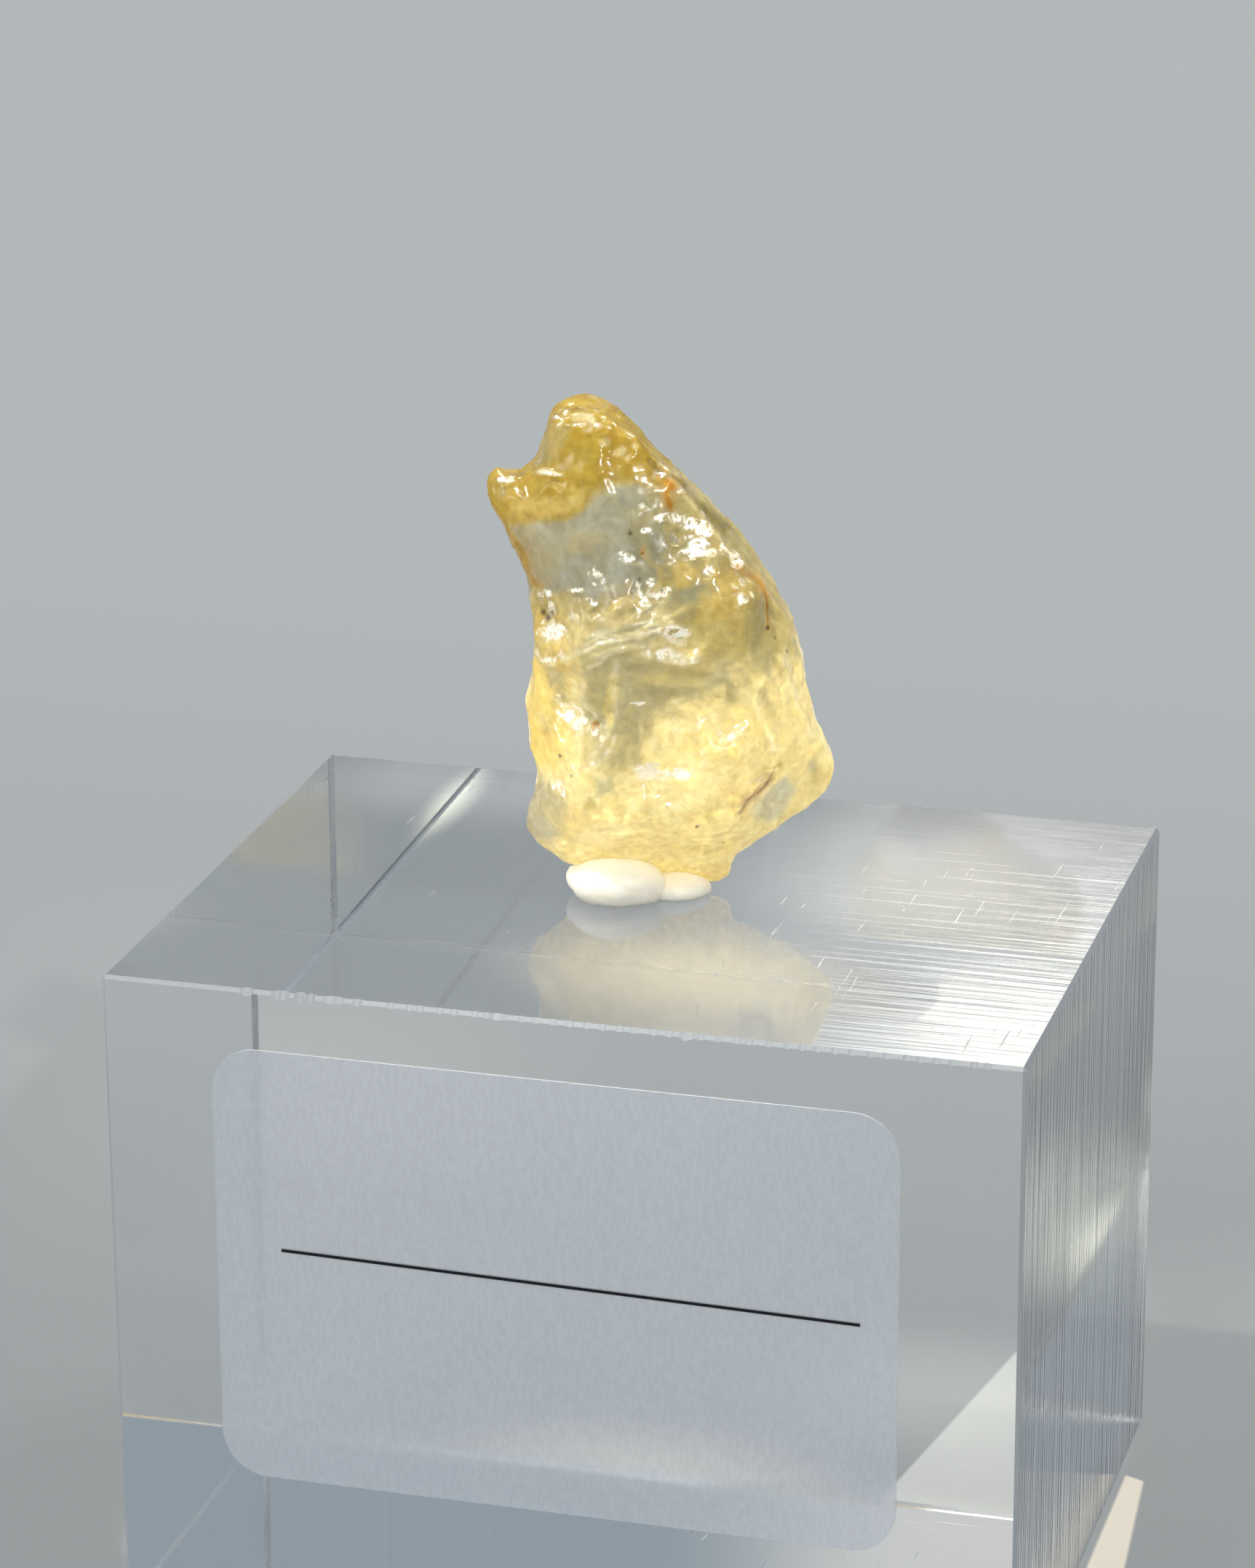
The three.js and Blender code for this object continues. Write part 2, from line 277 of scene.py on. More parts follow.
def broken_facets(points, size, seed):
    """Small flat facets at chance tilts, as on freshly chipped glass: heights from about -1 to 1, and each
    facet's own chance number from 0 to 1."""
    values = np.zeros(len(points))
    chances = np.zeros(len(points))
    shift = Vector((seed, -seed, 2 * seed))
    for i, p in enumerate(points):
        here = Vector(p) / size + shift
        centre = noise.voronoi(here)[1][0]
        tilt = noise.noise_vector(centre * 7.3)
        values[i] = (here - centre).dot(tilt) * 1.6 + noise.noise(centre * 3.1) * 0.5
        chances[i] = 0.5 + 0.5 * noise.noise(centre * 5.7)
    return values, chances


# %% Chips, lumps and crests on the front
# Each chip: u, w, its two radii, slant in degrees and depth
FRONT_CHIPS = [
    (1.75, 21.8, 0.42, 0.5, 20, 0.2), (-0.6, 20.6, 0.7, 0.4, -20, 0.12),
    (-2.5, 19.6, 0.55, 0.3, -50, 0.14), (-0.1, 18.5, 0.5, 0.9, 15, 0.2), (1, 18.3, 0.5, 0.35, 35, 0.12),
    (3.6, 19.7, 0.5, 0.35, 30, 0.1), (-5.3, 17.4, 0.35, 0.4, 30, 0.25), (-4.6, 13.1, 0.45, 0.5, 0, 0.2),
    (-3.7, 11.7, 1.2, 0.7, -35, 0.2), (-2.6, 11, 0.28, 0.32, 0, 0.22), (-1.4, 12.7, 0.3, 0.6, 0, 0.12),
    (0.4, 8.4, 1, 0.5, -5, 0.12), (2, 8.4, 0.6, 0.45, -5, 0.12), (4.4, 10.2, 0.8, 0.5, 0, 0.14),
    (2.1, 11.2, 1.1, 0.7, 0, 0.12), (-4.6, 7.4, 0.4, 0.8, 25, 0.14), (3.6, 3.5, 0.5, 0.4, 0, 0.12),
    (6.7, 12.4, 0.6, 1.1, -10, 0.14), (-1.7, 26.8, 0.5, 0.4, 20, 0.12), (-0.7, 26.6, 0.35, 0.35, 0, 0.1),
    (-7.7, 24.6, 0.35, 0.5, 0, 0.1),
]
# Each lump: u, w, its two radii, slant in degrees and height
FRONT_LUMPS = [
    (2.3, 19.6, 0.7, 0.9, 15, 0.25), (-1.3, 17.7, 0.4, 0.9, -35, 0.25), (-0.2, 6.1, 0.7, 0.7, 0, 0.22),
    (-4.9, 15.6, 0.9, 0.8, 10, 0.25), (1.3, 6.1, 0.35, 0.5, 0, 0.1), (5.6, 10.9, 0.8, 0.5, 40, 0.15),
    (-7.6, 25.1, 0.25, 0.25, 0, 0.2), (-7.2, 25, 0.2, 0.2, 0, 0.16), (-3.4, 8, 0.6, 1.4, 10, 0.12),
]
# Each crest or groove: its line of u, w points, half width and height
FRONT_CRESTS = [
    ([(-5.7, 14.9), (-4.9, 14.6), (-3.9, 14.9), (-2.6, 15.5), (-0.6, 16), (0.7, 16.4), (1.7, 17.1)],
     0.16, 0.16),
    ([(-3.4, 15.9), (-1.6, 16.3), (0.2, 16.9), (0.9, 17.4)], 0.14, 0.1),
    ([(-2.8, 14.7), (-1.2, 15.3), (0.3, 15.6)], 0.14, 0.08),
    ([(-0.3, 15.3), (0.4, 14.9), (1.4, 14.7), (2.5, 14.6), (3.1, 15.1), (3.6, 15.7)], 0.2, 0.18),
    ([(-5, 28.2), (-4.2, 28.2), (-3, 27.9), (-2.3, 28.1), (-1.5, 28.1)], 0.15, 0.1),
    ([(-1.4, 28.2), (-0.3, 27.2), (0.3, 26.6), (1.4, 25.4), (2.2, 24.3), (3.1, 23.2), (4, 21.9),
      (4.9, 20.2)], 0.16, 0.18),
    ([(-5.9, 25.7), (-5.2, 25.5), (-4.2, 25.2)], 0.14, 0.14),
    ([(5.5, 19.8), (6.1, 19.4), (6.6, 18.8), (6.8, 18), (6.8, 16.6)], 0.12, -0.16),
    ([(7.3, 15.2), (7.8, 14), (8.3, 12.7), (8.9, 11.1)], 0.16, 0.14),
    ([(7.4, 8.8), (7, 8.5), (6.9, 8.1), (6, 7.3), (5.4, 6.8), (5.1, 6)], 0.13, 0.14),
    ([(6.1, 12.3), (6.3, 11.2), (7, 10.2), (7.2, 9.2)], 0.14, 0.1),
    ([(0.9, 11), (2, 10.6), (3, 10.8), (3.1, 11.6)], 0.1, 0.09),
    ([(3.1, 9.6), (3.5, 9), (3.4, 8.5)], 0.12, 0.1),
    ([(-1.4, 14.8), (-1.7, 13.4), (-1.5, 12), (-2, 10.4), (-2.9, 8.9)], 0.2, 0.1),
    ([(-3.3, 13.9), (-3.2, 12.2), (-2.4, 11.4)], 0.16, 0.08),
    ([(-0.9, 5.4), (-0.2, 5.2), (0.5, 5.6), (0.6, 6.2)], 0.12, -0.1),
]
# A low lip runs around each chip: its height as a share of the depth, its place and its width in chip radii
LIP_HEIGHT, LIP_AT, LIP_WIDTH = 0.18, 1.08, 0.12
LUMP_FALL = 1.4
CREST_ENDS = 0.12
CREST_WHITE_WIDTH = 0.6


def relief_of(u, w):
    """Height in millimetres, and how much each point lies on a crest painted white, partly wear and partly
    painted highlight, from 0 to 1.
    """
    height = np.zeros(len(u))
    crest_wear_and_highlight = np.zeros(len(u))
    for *spot, depth in FRONT_CHIPS:
        away = slanted(u, w, spot)
        height -= depth * np.clip(1 - away**2, 0, None)
        height += LIP_HEIGHT * depth * np.exp(-(((away - LIP_AT) / LIP_WIDTH) ** 2))
    for *spot, rise in FRONT_LUMPS:
        height += rise * np.exp(-LUMP_FALL * slanted(u, w, spot) ** 2)
    for line, width, rise in FRONT_CRESTS:
        away, along = line_distance(u, w, line)
        ends = fade_at_ends(along, CREST_ENDS)
        height += rise * ends * bell(away, width)
        if rise > 0:
            crest_wear_and_highlight = np.maximum(crest_wear_and_highlight, ends * bell(away, CREST_WHITE_WIDTH * width))
    return height, crest_wear_and_highlight


# %% Frosted, rough and calm patches
# Each frosted chip patch: u, w, its two radii and slant in degrees. Their white is partly the chips' own
# frost and partly painted highlight where the sun glints on them
FROST_AND_GLINT_PATCHES = [
    (1.5, 22.9, 0.9, 0.3, 5), (3, 22.3, 0.9, 0.5, -30), (3.1, 21.3, 0.6, 0.6, 0),
    (2.4, 20.8, 0.5, 0.35, 20), (0.15, 22.15, 0.3, 0.2, 0), (-0.75, 20.6, 0.55, 0.24, -25),
    (-0.35, 20.25, 0.3, 0.15, 0), (-2.6, 19.75, 0.1, 0.35, 20), (-2.3, 19.55, 0.1, 0.4, 35),
    (3.6, 19.8, 0.35, 0.3, 0), (5.1, 20.2, 0.35, 0.25, 0), (5.4, 18.2, 0.3, 0.35, 0),
    (-0.15, 18.7, 0.1, 0.7, 20), (0.4, 19.2, 0.2, 0.3, 0), (1.1, 18.55, 0.45, 0.25, 35),
    (0.1, 18, 0.3, 0.3, 0), (-5.4, 18.7, 0.42, 0.22, 0), (-3.7, 18.8, 0.5, 0.14, 0),
    (-2.65, 18, 0.2, 0.15, 0), (-5.3, 17.3, 0.12, 0.5, -35), (-4.9, 16.5, 0.7, 0.45, 0),
    (-5.2, 14.9, 0.5, 0.12, 5), (1.7, 16.3, 0.8, 0.4, -5), (0.9, 15.15, 0.85, 0.4, -12),
    (2, 14.8, 0.9, 0.26, -5), (-0.3, 12.3, 0.4, 0.12, 0), (-4.05, 11.75, 0.75, 0.5, -30),
    (-2.8, 10.75, 0.4, 0.25, -50), (0.45, 8.35, 1.1, 0.5, -8), (2.05, 8.2, 0.6, 0.36, -5),
    (-4.6, 7.4, 0.2, 0.6, 30), (4.6, 10.4, 0.5, 0.3, -20), (-4.7, 28.75, 0.55, 0.1, -30),
    (-4.1, 28.9, 0.12, 0.25, 0), (-3.1, 28.25, 1, 0.09, 0), (-7.5, 25.3, 0.45, 0.25, 0),
    (-5, 25.5, 0.7, 0.12, -12), (1.9, 24.35, 0.35, 0.1, 0),
]


def patches(points, spots, ragged):
    """1 inside the spots and 0 outside, with a ragged edge."""
    u, w = points[:, 0], seen_height(points)
    uneven = ragged * fractal(points, 0.5, 2, 5.0)
    cover = np.zeros(len(points))
    for spot in spots:
        cover = np.maximum(cover, smooth_step(1.2, 0.85, slanted(u, w, spot) + uneven))
    return cover


# Each rough patch, chipped but not white: u, w, its two radii and slant in degrees
ROUGH_PATCHES = [
    (-5, 15.9, 0.9, 1.3, 0), (-5.2, 18.2, 0.7, 0.9, 0), (-3.2, 17.6, 0.9, 0.7, 0),
    (4.3, 20.6, 0.9, 0.9, -30), (5.2, 18.6, 0.7, 0.9, 0), (1.2, 15.8, 1.2, 0.8, 10),
    (6.1, 7.3, 0.9, 0.5, 40), (-7.5, 25.3, 0.6, 0.35, 0), (-3, 28.9, 1.6, 0.5, -10),
    (-0.6, 23.6, 1.4, 0.5, 0), (0.4, 18.6, 1, 0.8, 30), (-3.6, 11.5, 1.4, 0.9, -35),
]

# Each calm patch, worn smooth: u, w, its two radii and slant in degrees
CALM_PATCHES = [
    (-2.7, 21.3, 4, 2.2, 8), (7, 6.7, 1.9, 1.1, 38), (1.2, 13.4, 3.6, 1.1, 0), (-1, 10.6, 0.8, 2, 0),
    (-4.9, 27.2, 0.5, 1.2, -20), (-5.4, 5.9, 0.9, 1.4, 0), (6.4, 15.6, 0.6, 1.8, 0),
    (-3.8, 26.2, 1.7, 1.6, 0),
]

# %% Carve the skin
WAVE_HEIGHT = 0.08
SCALLOP_SIZES = (1.7, 0.6)
SCALLOP_HEIGHTS = (0.11, 0.03)
FACET_SIZE = 0.5
FACET_HEIGHT = 0.13
GRAIN_HEIGHT = 0.006
# How far the named marks stray sideways, so that no outline is a clean curve
WANDER = 0.12
# How much of the bowls calm patches lose, and how strongly rough patches are broken
CALM_LOSS, ROUGH_SHARE = 0.75, 0.6
# How white the broken bits of rough patches are, and the crests, whose white is partly wear and partly
# painted highlight
ROUGH_FROST_AND_GLINT, CREST_WHITE = 0.7, 0.55
# Painted highlight: the outline as the camera sees it is painted white below the first height and fully
# below the second
RIM_TOP, RIM_FULL = 19, 14

skin = read_points(stone.data)
outward = read_normals(stone.data)
toward_eye = outward[:, 2] * math.sin(CAMERA_DOWN) - outward[:, 1] * math.cos(CAMERA_DOWN)
near = smooth_step(-0.1, 0.1, toward_eye)
front = smooth_step(0.05, 0.35, toward_eye)
wander = np.stack([fractal(skin, 2.2, 2, 1.0), np.zeros(len(skin)), fractal(skin, 2.2, 2, 2.0)], 1) * WANDER
named, crest_wear_and_highlight = relief_of(skin[:, 0] + wander[:, 0], seen_height(skin) + wander[:, 2])
frost_and_glint = patches(skin, FROST_AND_GLINT_PATCHES, 0.35) * front
rough = patches(skin, ROUGH_PATCHES, 0.5) * front
calm = patches(skin, CALM_PATCHES, 0.25)
waves = WAVE_HEIGHT * fractal(skin, 2.8, 3, 3.0)
for size, depth in zip(SCALLOP_SIZES, SCALLOP_HEIGHTS):
    waves += depth * (1 - CALM_LOSS * calm) * scallops(skin + wander, size, 4.0)
facet_height, facet_chance = broken_facets(skin, FACET_SIZE, 11.0)
facets = FACET_HEIGHT * np.maximum(frost_and_glint, ROUGH_SHARE * rough) * facet_height
grain = GRAIN_HEIGHT * (1 - calm) * fractal(skin, 0.3, 2, 6.0)
height = named * front + waves + facets + grain
write_points(stone.data, skin + outward * height[:, None])
stone.data.shade_smooth()
# The white of the chips is partly their own frost and partly painted highlight where the sun glints on them
frost_and_glint *= smooth_step(0.3, 0.45, facet_chance)
frost_and_glint = np.maximum(frost_and_glint, ROUGH_FROST_AND_GLINT * rough * smooth_step(0.58, 0.66, facet_chance))
# Crests facing the camera are whitened: partly wear, partly painted highlight
crest_wear_and_highlight *= front * smooth_step(-0.3, 0.3, fractal(skin, 0.8, 2, 14.0))
frost_and_glint = np.maximum(frost_and_glint, CREST_WHITE * crest_wear_and_highlight)
# Painted highlight: a thin white rim where the surface turns edge-on to the camera, low on the stone
rim = smooth_step(0.14, 0.04, np.abs(toward_eye)) * smooth_step(RIM_TOP, RIM_FULL, skin[:, 2])
print("relief from", round(height.min(), 2), "to", round(height.max(), 2), "mm")

# %% [markdown]
# ## Clouds and colours in the glass
# The glass isn't one colour. Its horn is deep gold, a clear band below it lets the grey backdrop through,
# and the lower half is milky and pale yellow with greenish clear windows. Each zone is an outline with a
# cloudiness and a tint. They are painted one over another onto the points, where the finish reads them.

# %% Zones
TINTS = {
    "cream": (1.0, 0.92, 0.60),
    "yellow": (0.96, 0.80, 0.34),
    "straw": (0.78, 0.71, 0.38),
    "gold": (0.76, 0.58, 0.12),
    "deep gold": (0.92, 0.71, 0.11),
    "clear": (0.93, 0.94, 0.93),
    "clear band": (0.78, 0.81, 0.76),
    "khaki": (0.86, 0.82, 0.56),
    "grey green": (0.74, 0.75, 0.58),
    "olive": (0.57, 0.55, 0.40),
    "ash": (0.55, 0.55, 0.50),
    "dark olive": (0.50, 0.48, 0.32),
    "wedge": (0.34, 0.29, 0.04),
    "amber": (0.76, 0.52, 0.12),
}
# Each zone: its tint, how cloudy, softness of its edge in mm, and its outline of u, w points
ZONES = [
    ("straw", 0.5, 1, [(-7.5, 19.5), (-4.5, 18.5), (-2.5, 17.2), (0, 16.6), (3, 16), (5.5, 15.2),
     (9.5, 15.2), (8, 18.5), (5, 23.5), (2, 26), (1, 24), (-7, 22)]),
    ("yellow", 0.7, 0.5, [(-7, 19), (-4.4, 18.6), (-4, 15), (-4.2, 11), (-4.4, 8.6), (-7, 8.6)]),
    ("straw", 0.6, 0.8, [(2.6, 18), (5.4, 17.2), (5.7, 15.4), (3.9, 14.8), (2.4, 16)]),
    ("grey green", 0.4, 0.4, [(-3.8, 15.3), (-2.6, 16.4), (-1.6, 16.9), (-0.4, 17.3), (0.6, 17.7),
     (2.2, 18.1), (1.8, 17.1), (0.8, 16.2), (-0.2, 15.4), (-2.2, 14.9)]),
    ("clear band", 0.45, 0.35, [(-7.6, 22.8), (-5, 22.6), (-4.1, 22.8), (-3.1, 23.6), (-2.4, 24.2),
     (-1.2, 24.6), (0.3, 24.6), (1.1, 24.1), (1, 22.8), (0.9, 21.5), (1, 19.8), (0.4, 19), (-1.2, 18.5),
     (-2.6, 18), (-3.6, 18.7), (-5, 18.9), (-6.4, 19.7)]),
    ("grey green", 0.2, 0.5, [(-0.3, 24.4), (1, 24.3), (0.9, 22.2), (1.2, 20.5), (0.9, 19.4), (-0.2, 19.2),
     (-0.6, 21.5)]),
    ("amber", 0.6, 0.15, [(-8.2, 23.3), (-7.4, 22.9), (-6.7, 21.5), (-6.1, 20.2), (-5.6, 19), (-7, 19)]),
    ("yellow", 0.8, 0.35, [(1.4, 20.2), (2.2, 20.5), (3.2, 20), (3.1, 19.1), (1.9, 18.7)]),
    ("yellow", 0.95, 0.5, [(3.9, 19.8), (5, 20), (5.6, 19), (5.5, 17.8), (4.6, 16.8), (3.6, 17),
     (3.5, 18.2)]),
    ("grey green", 0.25, 0.35, [(-0.3, 17), (0.8, 17.9), (2, 18.6), (3.4, 19.3), (4, 18.9), (3, 17.9),
     (1.6, 17.2), (0.2, 16.6)]),
    ("cream", 0.9, 0.25, [(-2.3, 16.6), (-1.9, 17.4), (-0.9, 18.4), (-0.4, 18.2), (-0.9, 17.2),
     (-1.6, 16.4)]),
    ("dark olive", 0.4, 0.4, [(5.9, 19), (6.8, 18.6), (7.3, 17.3), (7.3, 15.6), (6.9, 14), (5.6, 14.1),
     (5.7, 16)]),
    ("olive", 0.5, 0.9, [(-3.3, 14.9), (-1.9, 15.2), (-0.4, 14.9), (1.2, 14.6), (2.6, 14.3), (3.9, 14.9),
     (5.2, 14.2), (4.9, 13), (3.2, 12.6), (1.8, 12.2), (0.6, 11.4), (0.2, 10.2), (-0.3, 8.9), (-1.6, 8.2),
     (-3.1, 8.9), (-3.4, 11)]),
    # Partly painted shade: darker just under the ledge's overhang, over the olive glass
    ("dark olive", 0.5, 1, [(-0.2, 14.3), (1.6, 14.2), (3, 14), (2.6, 13.2), (1, 12.6), (-0.1, 13.2)]),
    ("dark olive", 0.5, 0.7, [(-3, 14), (-2.4, 13.8), (-2.2, 12.2), (-2.4, 10.9), (-2.9, 11.4)]),
    ("dark olive", 0.75, 0.5, [(3.6, 13.2), (4.9, 13), (5, 12.5), (3.9, 12.4)]),
    ("grey green", 0.4, 0.25, [(-1.5, 13.2), (-1.1, 13.1), (-1.1, 12.3), (-1.4, 12.4)]),
    ("olive", 0.45, 0.4, [(-5.2, 14.3), (-4.4, 14.2), (-4.2, 12.6), (-4.9, 12.3)]),
    ("cream", 0.95, 0.2, [(-3.9, 14.6), (-3.4, 14.7), (-3.2, 13.4), (-3.5, 12.4), (-3.9, 12.6)]),
    ("straw", 0.6, 0.3, [(-5.8, 11.9), (-5, 11.9), (-4.9, 10.6), (-5.6, 10.5)]),
    ("olive", 0.6, 0.4, [(6.4, 12.9), (7.1, 12.9), (7.2, 11.3), (6.6, 11.3)]),
    ("cream", 0.95, 0.3, [(7.2, 14.9), (7.8, 15.2), (8.7, 12.5), (9, 11), (7.9, 10.9), (7.5, 12.5)]),
    ("ash", 0.4, 0.5, [(-6.9, 7.8), (-5.2, 8.1), (-4.8, 7.2), (-4.2, 6.4), (-4.3, 5.2), (-4.9, 4.2),
     (-6.9, 4.2)]),
    ("grey green", 0.5, 0.3, [(-2.7, 8.1), (-1.6, 8), (-1.4, 7.1), (-2.6, 6.9)]),
    ("cream", 0.75, 0.35, [(-1.6, 7), (0.2, 7.2), (0.6, 6.2), (0.2, 5.4), (-1, 5.3), (-1.8, 6)]),
    ("cream", 0.8, 0.6, [(-4.2, 5), (-2.2, 5), (-1.5, 4.2), (-2.6, 3.4), (-3.8, 3.9)]),
    ("cream", 0.5, 0.3, [(5.2, 6.1), (5.7, 7), (6.6, 7.9), (7.3, 8.7), (8.2, 8.6), (8.7, 7.8), (8.4, 6.8),
     (7.9, 5.8), (7, 5.2), (5.7, 4.9)]),
    ("clear band", 0.45, 0.25, [(5.9, 6.3), (6.9, 7.6), (8, 8), (8.5, 7.2), (8, 6.2), (7, 5.5), (6, 5.5)]),
    ("straw", 0.6, 0.3, [(9.2, 9.6), (9.8, 9.3), (9.9, 7.6), (9.4, 7.3)]),
    ("gold", 0.6, 0.3, [(-9, 22.7), (-7.2, 22.7), (-6, 22.7), (-5, 22.6), (-4.2, 22.7), (-3.2, 23.5),
     (-2.5, 24.1), (-1.3, 24.8), (0.3, 24.7), (1.6, 24.7), (1.6, 32), (-9, 32)]),
    ("deep gold", 0.5, 0.9, [(-4.9, 27.2), (-3.2, 28), (-1.6, 27.6), (-1.6, 26.2), (-3.2, 24.6),
     (-4.8, 25.6)]),
    ("yellow", 0.85, 0.35, [(-7.2, 23.9), (-4.4, 24.1), (-3, 24.5), (-3.6, 23.4), (-5, 22.8),
     (-7.2, 22.8)]),
    ("gold", 0.7, 0.5, [(-2, 27.4), (-1, 27.4), (0.2, 26.2), (0.9, 25), (-1, 25), (-2, 25.6)]),
    ("khaki", 0.3, 0.35, [(-4.9, 28.2), (-4, 28), (-4.5, 26.9), (-5.1, 26), (-5.8, 26.2)]),
    ("khaki", 0.3, 0.15, [(-7.9, 25), (-7.5, 25), (-7.4, 24.3), (-7.8, 24.2)]),
    ("wedge", 0.8, 0.12, [(0.2, 26.7), (1.4, 25.6), (2.6, 24.9), (2.3, 24.6), (1.2, 25.2), (0.1, 26.3)]),
    ("wedge", 0.5, 0.2, [(2.7, 24.3), (3.4, 23.9), (4.8, 22.5), (4.3, 22.1), (3.2, 23.2)]),
]
STRAND_TINT = (0.97, 0.93, 0.72)
STRAND_COVER, STRAND_CLOUD, STRAND_ENDS = 0.6, 0.95, 0.1
# Each pale strand in the glass, and one painted highlight along the ridge: its line of u, w points and half
# width
STRANDS_AND_RIDGE_HIGHLIGHT = [
    ([(-3.9, 15.1), (-2.5, 15.6), (-0.7, 15.9), (0.2, 16.1), (1, 16.5), (1.7, 17)], 0.08),
    ([(-3.4, 15.7), (-1.6, 16.1), (0, 16.4), (0.9, 16.9)], 0.07),
    ([(-3, 15), (-1.4, 15.3), (0.3, 15.6)], 0.08),
    ([(-1.2, 17), (-0.2, 17.4), (0.7, 18)], 0.08),
    ([(0.3, 16.9), (1.4, 17.3), (2.2, 17.9)], 0.08),
    ([(-0.4, 18.8), (-0.2, 18.2), (0, 17.6)], 0.12),
    ([(1.7, 11), (2.4, 10.6), (3, 10.9), (3.05, 11.6)], 0.07),
    ([(3.2, 9.5), (3.4, 9), (3.2, 8.6)], 0.07),
    ([(4.2, 9.8), (4.45, 9.3), (4.2, 8.7)], 0.08),
    ([(6.3, 13.3), (6, 12.4), (6.2, 11.3), (7, 10.7)], 0.12),
    ([(6.5, 10.3), (7.2, 9.7), (7.4, 9.2)], 0.08),
    ([(-0.9, 5.6), (-0.2, 5.2), (0.4, 5.5), (0.6, 6.2)], 0.07),
    ([(-3.3, 5.4), (-3, 6.6), (-3.4, 7.8)], 0.2),
    ([(7.5, 16), (8.2, 14), (8.9, 11.8), (9.6, 10.2)], 0.12),
    # Painted highlight along the ridge crest, not a strand in the glass
    ([(1.2, 25.6), (2.2, 24.3), (3.1, 23.2), (4, 21.9), (4.9, 20.3)], 0.06),
]
# Each small cloud: its tint, how cloudy, and u, w, two radii and slant in degrees
SMALL_CLOUDS = [
    ("cream", 1, (-2, 27.3, 0.35, 0.35, 0)), ("cream", 1, (-1.2, 26.6, 0.3, 0.3, 0)),
    ("cream", 1, (-0.5, 26.9, 0.2, 0.2, 0)), ("cream", 0.95, (-0.8, 26.2, 0.2, 0.2, 0)),
    # The first cream line on this row is a painted highlight along the bright crease in the horn
    ("cream", 0.9, (-5.2, 25.5, 0.7, 0.2, -12)), ("cream", 0.8, (-3.1, 28.6, 0.8, 0.3, -10)),
    ("clear", 0.3, (1.75, 21.75, 0.26, 0.42, 10)), ("cream", 0.9, (0.6, 18.9, 0.45, 0.3, 30)),
    ("cream", 0.9, (-4.9, 16.4, 0.7, 0.6, 0)), ("cream", 0.9, (2.1, 15.2, 0.3, 0.5, 0)),
    ("straw", 0.7, (-1.8, 12.4, 0.3, 1.7, -4)), ("cream", 0.95, (5, 13.7, 0.7, 0.35, -30)),
    ("straw", 0.65, (4.85, 9.3, 0.3, 0.4, 0)), ("straw", 0.65, (-3, 6.4, 0.3, 0.5, 0)),
    ("straw", 0.6, (3.6, 3.6, 0.35, 0.25, 30)), ("olive", 0.5, (9.4, 8.7, 0.25, 0.4, 0)),
    ("straw", 0.6, (4.9, 21.6, 0.3, 0.6, -40)),
]
BASE_CLOUD = 0.85
ZONE_DRIFT = 0.3
# Clear bands are wider on the far side, so that the near side doesn't show that side's clouds
FAR_WINDOW_GROWTH = 1.6
# Painted shade: the tints darken between the first two heights, where less light reaches the glass, and
# darken a little less in the horn between the last two
HEIGHT_SHADE_TINT = (0.69, 0.68, 0.66)
HEIGHT_SHADE_FROM, HEIGHT_SHADE_TO = 13.0, 17.5
HORN_FROM, HORN_TO, HORN_SHADE_EASING = 21.5, 23.5, 0.4


def inside(u, w, outline, soft, grown):
    """1 inside an outline, 0 outside it, with a soft edge, when it is grown by some millimetres."""
    within = np.zeros(len(u), bool)
    closed = outline + outline[:1]
    for (u0, w0), (u1, w1) in zip(closed, closed[1:]):
        if w0 != w1:
            crosses = ((w0 > w) != (w1 > w)) & (u < u0 + (w - w0) * (u1 - u0) / (w1 - w0))
            within ^= crosses
    away, _ = line_distance(u, w, closed)
    return smooth_step(-soft, soft, np.where(within, away, -away) + grown)


skin = read_points(stone.data)
zone_u = skin[:, 0] + ZONE_DRIFT * fractal(skin, 1.6, 4, 7.0)
zone_w = seen_height(skin, near) + ZONE_DRIFT * fractal(skin, 1.6, 4, 8.0)
cloud = np.full(len(skin), BASE_CLOUD)
tint = np.tile(TINTS["cream"], (len(skin), 1))


def paint(cover, cloudy, colour):
    """Lays a cloudiness and a tint over those that the points already have."""
    cloud[:] += cover * (cloudy - cloud)
    tint[:] += cover[:, None] * (np.array(colour) - tint)


for tint_name, cloudy, soft, outline in ZONES:
    grown = FAR_WINDOW_GROWTH * (1 - near) if tint_name == "clear band" else 0.0
    paint(inside(zone_u, zone_w, outline, soft, grown), cloudy, TINTS[tint_name])
# Painted shade, darker upward
height_shade = smooth_step(HEIGHT_SHADE_FROM, HEIGHT_SHADE_TO, zone_w)
height_shade *= 1 - HORN_SHADE_EASING * smooth_step(HORN_FROM, HORN_TO, zone_w)
height_shade_tint = 1 - height_shade[:, None] * (1 - np.array(HEIGHT_SHADE_TINT))
tint *= height_shade_tint
for line, width in STRANDS_AND_RIDGE_HIGHLIGHT:
    away, along = line_distance(zone_u, zone_w, line)
    cover = STRAND_COVER * bell(away, width) * fade_at_ends(along, STRAND_ENDS)
    paint(cover, STRAND_CLOUD, STRAND_TINT)
for tint_name, cloudy, spot in SMALL_CLOUDS:
    paint(smooth_step(1.3, 0.6, slanted(zone_u, zone_w, spot)), cloudy, TINTS[tint_name] * height_shade_tint)
print("cloud from", round(cloud.min(), 2), "to", round(cloud.max(), 2))

